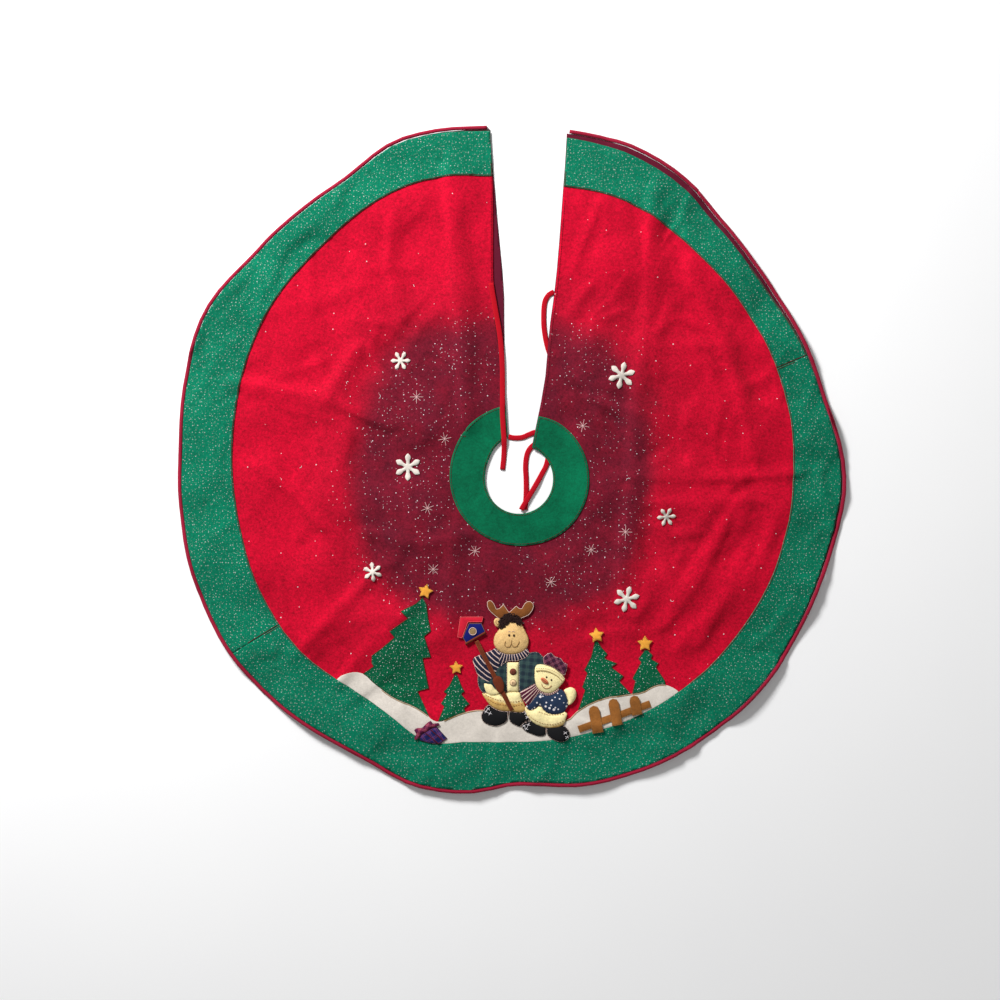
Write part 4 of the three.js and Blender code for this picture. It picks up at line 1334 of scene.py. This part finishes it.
class SKIRT_OT_landscape(bpy.types.Operator):
    """Makes the snow bank, trees, stars, snowflakes, fence and gift"""

    bl_idname = "skirt.landscape"
    bl_label = "Landscape"

    def execute(self, context):
        thread = sizes().thread
        bank = patch("snow_bank_felt", "snow_bank", "snow_felt", "snow_felt", 0.0006, 0.0042)
        self.edge_snow(bank)
        for name in ("tree_tall", "tree_small", "tree_inner", "tree_outer"):
            made = patch(name + "_felt", name, "tree_felt", "tree_felt", 0.0012)
            edge_threads(name + "_edge", made, "leaf_thread", 0.0006, thread * 0.32, solid=True)
        for name in ("star_tall", "star_small", "star_inner", "star_outer"):
            made = patch(name + "_felt", name, "star_felt", "star_felt", 0.0012, 0.002)
            edge_threads(name + "_edge", made, "gold_thread", 0.0008, thread * 0.35)
        for i in range(1, 7):
            patch(f"snowflake_{i}_felt", f"snowflake_{i}", "snow_felt", "snow_felt", 0.0014, 0.002)
        made = patch("fence_rail_felt", "fence_rail", "fence_felt", "fence_suede", 0.001)
        edge_threads("fence_rail_edge", made, "brown_thread", 0.0009, thread * 0.4)
        for i in range(1, 4):
            made = patch(f"fence_picket_{i}_felt", f"fence_picket_{i}", "fence_felt", "fence_suede", 0.001)
            edge_threads(f"fence_picket_{i}_edge", made, "brown_thread", 0.0009, thread * 0.4)
        made = patch("gift_box_felt", "gift_box", "gift_plaid", "gift_plaid", 0.0018, declare="padded")
        edge_threads("gift_box_edge", made, "eye_thread", 0.0008, thread * 0.4, solid=True)
        made = patch("gift_bow_felt", "gift_bow", "bow_plaid", "bow_plaid", 0.0024, 0.002, declare="padded")
        edge_threads("gift_bow_edge", made, "red_thread", 0.0007, thread * 0.4, solid=True)
        ribbon = Threads("gift_ribbon", 0.0008)
        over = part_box("gift_box")[1][2] + 0.0022
        for line in (((-169, -462), (-157, -472), (-146, -481)), ((-160, -456), (-148, -466), (-138, -475))):
            ribbon.lay(respace(trunk_xy(line), 0.003, False), over)
        ribbon.finish(material("red_thread"))
        return {"FINISHED"}

    def edge_snow(self, bank):
        """A close overcast edge along the crest of the snow."""
        obj, runs, top = bank
        crest = Threads("snow_bank_edge", 0.0006)
        for run in runs:
            spaced = respace(run, 0.0024)
            place = from_trunk(spaced)
            reach = np.hypot(place[:, 0], place[:, 1])
            radial = reach > np.where(place[:, 0] < -250, 452, 462)
            away = inset_run(spaced, 0.001)
            part = []
            for i in range(len(away) + 1):
                j = i % len(away)
                ahead = spaced[(j + 1) % len(away)] - spaced[j]
                if not radial[j] and ahead[0] < 0.0001 and i < len(away):
                    part.append(away[j])
                elif len(part) > 3:
                    crest.lay(np.array(part), top + 0.0004)
                    part = []
                else:
                    part = []
        crest.finish(material("gold_thread"))


class SKIRT_OT_embroidery(bpy.types.Operator):
    """Embroiders the nine silver stars on the dark ring and scatters a little lint"""

    bl_idname = "skirt.embroidery"
    bl_label = "Silver stars"

    def execute(self, context):
        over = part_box("red_panel")[1][2] + 0.0003
        places = ((-186, 147), (-135, 71), (-166, -55), (-80, -133), (-156, -166), (58, -189), (131, -131),
                  (116, 95), (193, -98))
        stars = Threads("silver_stars", 0.0005)
        for index, (x, y) in enumerate(places):
            for k in range(4):
                turn = math.radians(45 * k + 11 * index)
                reach = 12.0 if k % 2 == 0 else 9.0
                dx, dy = reach * math.cos(turn), reach * math.sin(turn)
                line = trunk_xy(((x - dx, y - dy), (x - dx / 3, y - dy / 3), (x + dx / 3, y + dy / 3), (x + dx, y + dy)))
                stars.lay(line, over + 0.0001 * k)
        stars.finish(material("star_thread"))
        self.lint(over)
        return {"FINISHED"}

    def lint(self, over):
        """A few short curls of pale lint caught on the felt."""
        rng = np.random.default_rng(11)
        lint = Threads("lint", 0.00035)
        for _ in range(22):
            turn, reach = rng.uniform(math.pi * 0.62, math.pi * 2.1), rng.uniform(180, 440)
            middle = np.array((math.cos(turn), math.sin(turn))) * reach
            angles = rng.uniform(0, 2 * math.pi) + np.linspace(0, rng.uniform(1.0, 2.6), 5)
            curl = rng.uniform(2, 4.5) * np.stack((np.cos(angles), np.sin(angles)), axis=1)
            if abs(middle[0]) > 60 and middle[1] > -330:
                lint.lay(trunk_xy(middle + curl), over)
        lint.finish(material("silver_thread"))


class SKIRT_OT_moose(bpy.types.Operator):
    """Makes the moose with its scarf, coat, boots and face"""

    bl_idname = "skirt.moose"
    bl_label = "Moose"

    def execute(self, context):
        thread = sizes().thread
        made = {}
        for node, finish, slot, tall, wrinkle in (
            ("moose_boot_left", "boot_felt", "boot_felt", 0.004, 0),
            ("moose_boot_right", "boot_felt", "boot_felt", 0.004, 0),
            ("moose_hem", "moose_hem_fleece", "cream_fleece", 0.0042, 0.0004),
            ("moose_coat_left", "coat_plaid", "coat_plaid", 0.003, 0.0004),
            ("moose_coat_right", "coat_plaid", "coat_plaid", 0.0036, 0.0004),
            ("moose_shirt", "cream_fleece", "cream_fleece", 0.0036, 0.0002),
            ("moose_antlers", "antler_felt", "antler_suede", 0.002, 0),
            ("moose_head", "head_fleece", "head_fleece", 0.0052, 0.0002),
            ("moose_hair", "hair_yarn", "hair_yarn", 0.002, 0),
            ("moose_scarf", "moose_scarf_stripe", "scarf_stripe", 0.003, 0.0003),
            ("moose_arm", "cream_fleece", "cream_fleece", 0.003, 0.0003),
            ("moose_mitten", "wood_felt", "pole_suede", 0.0022, 0),
        ):
            lift = over_scarf if node == "moose_mitten" else None
            made[node] = patch(node + "_felt", node, finish, slot, tall, 0.0024, wrinkle, "padded", lift)
        for node, finish, radius, is_solid in (
            ("moose_antlers", "pale_thread", 0.5, True), ("moose_head", "brown_thread", 0.4, False),
            ("moose_boot_left", "pale_thread", 0.4, True), ("moose_boot_right", "pale_thread", 0.4, True),
            ("moose_hem", "brown_thread", 0.35, False), ("moose_coat_left", "pale_thread", 0.25, False),
            ("moose_coat_right", "pale_thread", 0.25, False), ("moose_arm", "brown_thread", 0.3, False),
            ("moose_scarf", "pale_thread", 0.3, False), ("moose_mitten", "eye_thread", 0.3, False),
        ):
            lift = over_scarf if node == "moose_mitten" else None
            edge_threads(node + "_edge", made[node], finish, 0.0007, thread * radius, is_solid, lift)
        rows = (
            ((-61, -393), (-45, -401), (-25, -405), (-5, -406), (7, -402)),
            ((-57, -401), (-42, -409), (-25, -412), (-5, -413), (8, -410)),
        )
        stitch_rows("moose_hem_stitches", made["moose_hem"][0], rows, "smile_thread", 0.00045)
        self.face(made)
        self.hair(made)
        self.buttons(made)
        self.laces(made)
        return {"FINISHED"}

    def face(self, made):
        over = height_over(made["moose_head"][0])
        for index, (x, y) in enumerate(((-17.9, -285.2), (-9.3, -285.6))):
            bead(f"moose_eye_{index + 1}", x, y, 3.8, 4.6, 0.0014, float(over(trunk_xy((x, y)))[0]) - 0.0002,
                 "eye_thread")
        smile = Threads("moose_smile", 0.0005)
        for line in (
            ((-24.5, -296), (-26, -300), (-26, -304), (-22, -307), (-17, -306), (-14, -301), (-13.4, -294)),
            ((-13.4, -301), (-11, -306), (-7, -306.5), (-3.4, -304.5), (-0.6, -299.5), (0.2, -296)),
        ):
            line = respace(trunk_xy(line), 0.0018, False)
            smile.run(np.column_stack((line, lie(line) + over(line) + 0.0002)))
        smile.finish(material("brown_thread"))
        brows = Threads("moose_brows", 0.00035)
        for x in (-17.2, -10.3):
            line = respace(trunk_xy(((x - 2.4, -278.6), (x, -277.6), (x + 2.4, -278.6))), 0.0016, False)
            brows.run(np.column_stack((line, lie(line) + over(line) + 0.0002)))
        brows.finish(material("pale_thread"))
        ear = bead("moose_ear", -39, -262.5, 13, 17, 0.004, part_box("moose_head")[0][2] + 0.0003, "head_fleece", 0.3)
        fold = Threads("moose_ear_fold", 0.0005)
        line = curve_through(trunk_xy(((-41.5, -257.5), (-42, -262), (-38.5, -266), (-36.5, -262))), 4)
        fold.lay(line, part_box("moose_head")[0][2] + 0.0043)
        fold.finish(material("brown_thread"))

    def hair(self, made):
        """Loops of yarn sewn down along the top of the head."""
        rng = np.random.default_rng(5)
        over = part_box("moose_hair")[1][2]
        run = made["moose_hair"][1][0]
        low, high = run.min(axis=0), run.max(axis=0)
        loops = Threads("moose_hair_loops", 0.00095)
        placed = 0
        while placed < 46:
            middle = rng.uniform(low, high)
            if not self.inside(middle, run):
                continue
            turn, reach = rng.uniform(0, 2 * math.pi), rng.uniform(0.0028, 0.0046)
            angles = np.linspace(0, rng.uniform(4.2, 6.0), 9) + turn
            squash = rng.uniform(0.55, 1.0)
            x = middle[0] + reach * np.cos(angles)
            y = middle[1] + reach * squash * np.sin(angles)
            z = over + 0.0009 + 0.0014 * np.abs(np.sin(angles / 2)) + lie(np.column_stack((x, y)))
            loops.run(np.column_stack((x, y, z)))
            placed += 1
        loops.finish(material("hair_yarn"))

    def inside(self, point, run):
        x, y = point
        ahead = np.roll(run, -1, axis=0)
        crossing = (run[:, 1] > y) != (ahead[:, 1] > y)
        span = np.where(ahead[:, 1] == run[:, 1], 1e-9, ahead[:, 1] - run[:, 1])
        at = run[:, 0] + (y - run[:, 1]) * (ahead[:, 0] - run[:, 0]) / span
        return bool(((x < at) & crossing).sum() % 2)

    def buttons(self, made):
        over = height_over(made["moose_shirt"][0])
        for index, (y, finish) in enumerate(((-351.9, "button_brown"), (-371.7, "button_cream"))):
            base = float(over(trunk_xy((-10.8, y)))[0])
            bead(f"moose_button_{index + 1}", -10.8, y, 11, 11, 0.0026, base - 0.0003, finish)
            holes = Threads(f"moose_button_{index + 1}_thread", 0.0005)
            for dx in (-1.3, 1.3):
                line = trunk_xy(((-10.8 + dx, y - 2), (-10.8 + dx, y + 2)))
                holes.lay(line, base + 0.0024)
            rim = np.linspace(0, 2 * math.pi, 20, endpoint=False)
            holes.lay(trunk_xy(np.stack((-10.8 + 5.7 * np.cos(rim), y + 5.7 * np.sin(rim)), axis=1)), base, True)
            holes.finish(material("rim_thread"))

    def laces(self, made):
        for node, places in (
            ("moose_boot_left", ((-56, -419), (-60, -424), (-53, -427))),
            ("moose_boot_right", ((13, -427), (15, -434))),
        ):
            boot_laces(node, made[node][0], places)


def boot_laces(node, obj, places):
    """White crossed stitches on a boot."""
    over = height_over(obj)
    laces = Threads(node + "_laces", 0.00042)
    for index, (x, y) in enumerate(places):
        for slope in (1, -1):
            turn = math.radians(38 * slope + 12 * index)
            dx, dy = 3.6 * math.cos(turn), 3.6 * math.sin(turn)
            line = trunk_xy(((x - dx, y - dy), (x, y), (x + dx, y + dy)))
            laces.run(np.column_stack((line, lie(line) + over(line) + 0.0003)))
    laces.finish(material("silver_thread"))


class SKIRT_OT_birdhouse(bpy.types.Operator):
    """Makes the birdhouse on its pole"""

    bl_idname = "skirt.birdhouse"
    bl_label = "Birdhouse"

    def execute(self, context):
        thread = sizes().thread
        front = patch("birdhouse_front_felt", "birdhouse_front", "birdhouse_felt", "birdhouse_felt", 0.0016)
        edge_threads("birdhouse_front_edge", front, "brown_thread", 0.0006, thread * 0.35, solid=True)
        roof = patch("birdhouse_roof_felt", "birdhouse_roof", "roof_felt", "roof_felt", 0.001)
        edge_threads("birdhouse_roof_edge", roof, "pink_thread", 0.0006, thread * 0.4, solid=True)
        pole = patch(
            "birdhouse_pole_felt", "birdhouse_pole", "wood_felt", "pole_suede", 0.0012, 0.002, lift=over_scarf
        )
        edge_threads("birdhouse_pole_edge", pole, "brown_thread", 0.0008, thread * 0.28, lift=over_scarf)
        over = float(height_over(front[0])(trunk_xy((-84, -278.3)))[0])
        bead("birdhouse_hole_patch", -84, -278.3, 12.5, 12.5, 0.0012, over - 0.0002, "hole_felt")
        ring = Threads("birdhouse_hole_edge", 0.0006)
        angles = np.linspace(0, 2 * math.pi, 24, endpoint=False)
        circle = trunk_xy(np.stack((-84 + 6.6 * np.cos(angles), -278.3 + 6.6 * np.sin(angles)), axis=1))
        ring.lay(circle, over + 0.0007, closed=True)
        ring.finish(material("pale_thread"))
        base = Threads("birdhouse_base_strip", 0.0021, 2)
        line = respace(trunk_xy(((-97.5, -301.5), (-61, -280.5))), 0.004, False)
        base.lay(line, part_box("birdhouse_front")[1][2] + 0.0004)
        base.finish(material("wood_felt"))
        return {"FINISHED"}


class SKIRT_OT_snowman(bpy.types.Operator):
    """Makes the snowman with its hat, scarf, sweater, boots and face"""

    bl_idname = "skirt.snowman"
    bl_label = "Snowman"

    def execute(self, context):
        thread = sizes().thread
        made = {}
        for node, finish, slot, tall, wrinkle in (
            ("snowman_boot_left", "boot_felt", "boot_felt", 0.004, 0),
            ("snowman_boot_right", "boot_felt", "boot_felt", 0.004, 0),
            ("snowman_hem", "snowman_hem_fleece", "cream_fleece", 0.004, 0.0004),
            ("snowman_sweater", "sweater_knit", "dotted_knit", 0.004, 0.0003),
            ("snowman_arm", "cream_fleece", "cream_fleece", 0.0038, 0.0002),
            ("snowman_head", "cream_fleece", "cream_fleece", 0.0044, 0.0001),
            ("snowman_hat", "hat_plaid", "hat_plaid", 0.003, 0.0003),
            ("snowman_scarf", "snowman_scarf_stripe", "snowman_scarf_stripe", 0.0024, 0.0002),
        ):
            made[node] = patch(node + "_felt", node, finish, slot, tall, 0.0022, wrinkle, "padded")
        for node, finish, radius, is_solid in (
            ("snowman_head", "gold_thread", 0.35, False), ("snowman_hat", "pale_thread", 0.35, True),
            ("snowman_sweater", "pale_thread", 0.25, False), ("snowman_hem", "gold_thread", 0.35, False),
            ("snowman_boot_left", "pale_thread", 0.4, True), ("snowman_boot_right", "pale_thread", 0.4, True),
            ("snowman_arm", "gold_thread", 0.35, False), ("snowman_scarf", "pale_thread", 0.25, False),
        ):
            edge_threads(node + "_edge", made[node], finish, 0.0007, thread * radius, solid=is_solid)
        boot_laces("snowman_boot_left", made["snowman_boot_left"][0], ((9, -450), (13, -455), (17, -448)))
        boot_laces("snowman_boot_right", made["snowman_boot_right"][0], ((84, -462), (87, -470)))
        rows = (
            ((17, -430), (30, -440), (48, -446), (66, -446), (82, -439)),
            ((36, -424), (52, -429), (68, -429), (83, -428)),
        )
        stitch_rows("snowman_hem_stitches", made["snowman_hem"][0], rows, "smile_thread", 0.00045)
        self.face(made)
        self.hat_band(made)
        return {"FINISHED"}

    def face(self, made):
        over = height_over(made["snowman_head"][0])
        for index, (x, y) in enumerate(((49.8, -361), (58.5, -366))):
            bead(f"snowman_eye_{index + 1}", x, y, 3.2, 3.6, 0.0012, float(over(trunk_xy((x, y)))[0]) - 0.0002,
                 "eye_thread")
        smile = Threads("snowman_smile", 0.00045)
        line = curve_through(trunk_xy(((40.9, -373), (42.6, -378), (48.4, -381.4), (54.2, -380.3), (59, -376))), 4)
        smile.run(np.column_stack((line, lie(line) + over(line) + 0.0002)))
        smile.finish(material("smile_thread"))
        base = float(over(trunk_xy((46, -367)))[0])
        nose = bead("snowman_nose", 46.2, -367.6, 8.0, 16.5, 0.003, base - 0.0003, "nose_felt", math.radians(52))

    def hat_band(self, made):
        """A rolled cream brim across the head with a row of stitches."""
        over = height_over(made["snowman_head"][0])
        spine = curve_through(trunk_xy(((31, -347.5), (44, -347), (57, -350), (70, -357), (80, -366.5))), 6)
        lift = over(spine)
        level = np.maximum(lift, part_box("snowman_head")[1][2] + 0.0012)
        level = np.convolve(np.pad(level, 2, "edge"), np.ones(5) / 5, "valid")
        band = Threads("snowman_hat_band", 0.0042, 3)
        band.run(np.column_stack((spine, lie(spine) + level - 0.0022)))
        obj = band.finish(material("cream_fleece"))
        stitches = Threads("snowman_hat_band_stitches", 0.0004)
        for shift in (-0.0022, 0.0022):
            line = inset_run(spine, shift, closed=False)
            spaced = respace(np.column_stack((line, level)), 0.0042, False)
            for a, b in zip(spaced, spaced[1:]):
                end = a + (b - a) * 0.6
                stitches.run([(a[0], a[1], a[2] + 0.0016 + lie_at(a[0], a[1])),
                              (end[0], end[1], end[2] + 0.0016 + lie_at(end[0], end[1]))])
        stitches.finish(material("gold_thread"))


class SKIRT_OT_stage(bpy.types.Operator):
    """Makes the pale floor and the soft lights"""

    bl_idname = "skirt.stage"
    bl_label = "Floor and lights"

    def execute(self, context):
        bm = bmesh.new()
        bmesh.ops.create_grid(bm, x_segments=2, y_segments=2, size=4)
        bmesh.ops.translate(bm, vec=(0, 0, -0.0002), verts=bm.verts[:])
        floor = new_object("floor", bm, material("floor_paint"), None, smooth=False)
        world = bpy.data.worlds.new("soft_room")
        world.use_nodes = True
        world.node_tree.nodes["Background"].inputs["Color"].default_value = (1, 1, 1, 1)
        world.node_tree.nodes["Background"].inputs["Strength"].default_value = 0.25
        context.scene.world = world
        for name, place, size, power in (
            ("key_light", (-1.7, 2.3, 1.9), 0.8, sizes().key_light),
            ("fill_light", (1.8, -1.2, 2.2), 2.2, sizes().key_light * 0.04),
        ):
            data = bpy.data.lights.new(name, "AREA")
            data.size = size
            data.energy = power
            light = bpy.data.objects.new(name, data)
            light.location = place
            light.rotation_euler = (-Vector(place)).to_track_quat("-Z", "Y").to_euler()
            context.scene.collection.objects.link(light)
        context.scene.view_settings.view_transform = "Standard"
        return {"FINISHED"}


STEPS = (
    SKIRT_OT_camera, SKIRT_OT_ties, SKIRT_OT_sheets, SKIRT_OT_border, SKIRT_OT_seams, SKIRT_OT_landscape,
    SKIRT_OT_embroidery, SKIRT_OT_birdhouse, SKIRT_OT_moose, SKIRT_OT_snowman, SKIRT_OT_stage,
)


class SKIRT_PT_panel(bpy.types.Panel):
    """Lists the building steps and their sizes"""

    bl_idname = "SKIRT_PT_panel"
    bl_label = "Tree Skirt"
    bl_space_type = "VIEW_3D"
    bl_region_type = "UI"
    bl_category = "Tree Skirt"

    def draw(self, context):
        layout = self.layout
        for group in (context.scene.skirt_sizes, context.scene.skirt_colours):
            column = layout.column()
            for name in group.bl_rna.properties.keys():
                if name not in ("rna_type", "name"):
                    column.prop(group, name)
        for step in STEPS:
            layout.operator(step.bl_idname)


CLASSES = (SkirtSizes, SkirtColours, *STEPS, SKIRT_PT_panel)


def register():
    for each in CLASSES:
        bpy.utils.register_class(each)
    bpy.types.Scene.skirt_sizes = PointerProperty(type=SkirtSizes)
    bpy.types.Scene.skirt_colours = PointerProperty(type=SkirtColours)


def unregister():
    del bpy.types.Scene.skirt_colours
    del bpy.types.Scene.skirt_sizes
    for each in reversed(CLASSES):
        bpy.utils.unregister_class(each)


def main():
    register()
    make_materials()
    for step in STEPS:
        group, name = step.bl_idname.split(".")
        getattr(getattr(bpy.ops, group), name)()


if __name__ == "__main__":
    main()
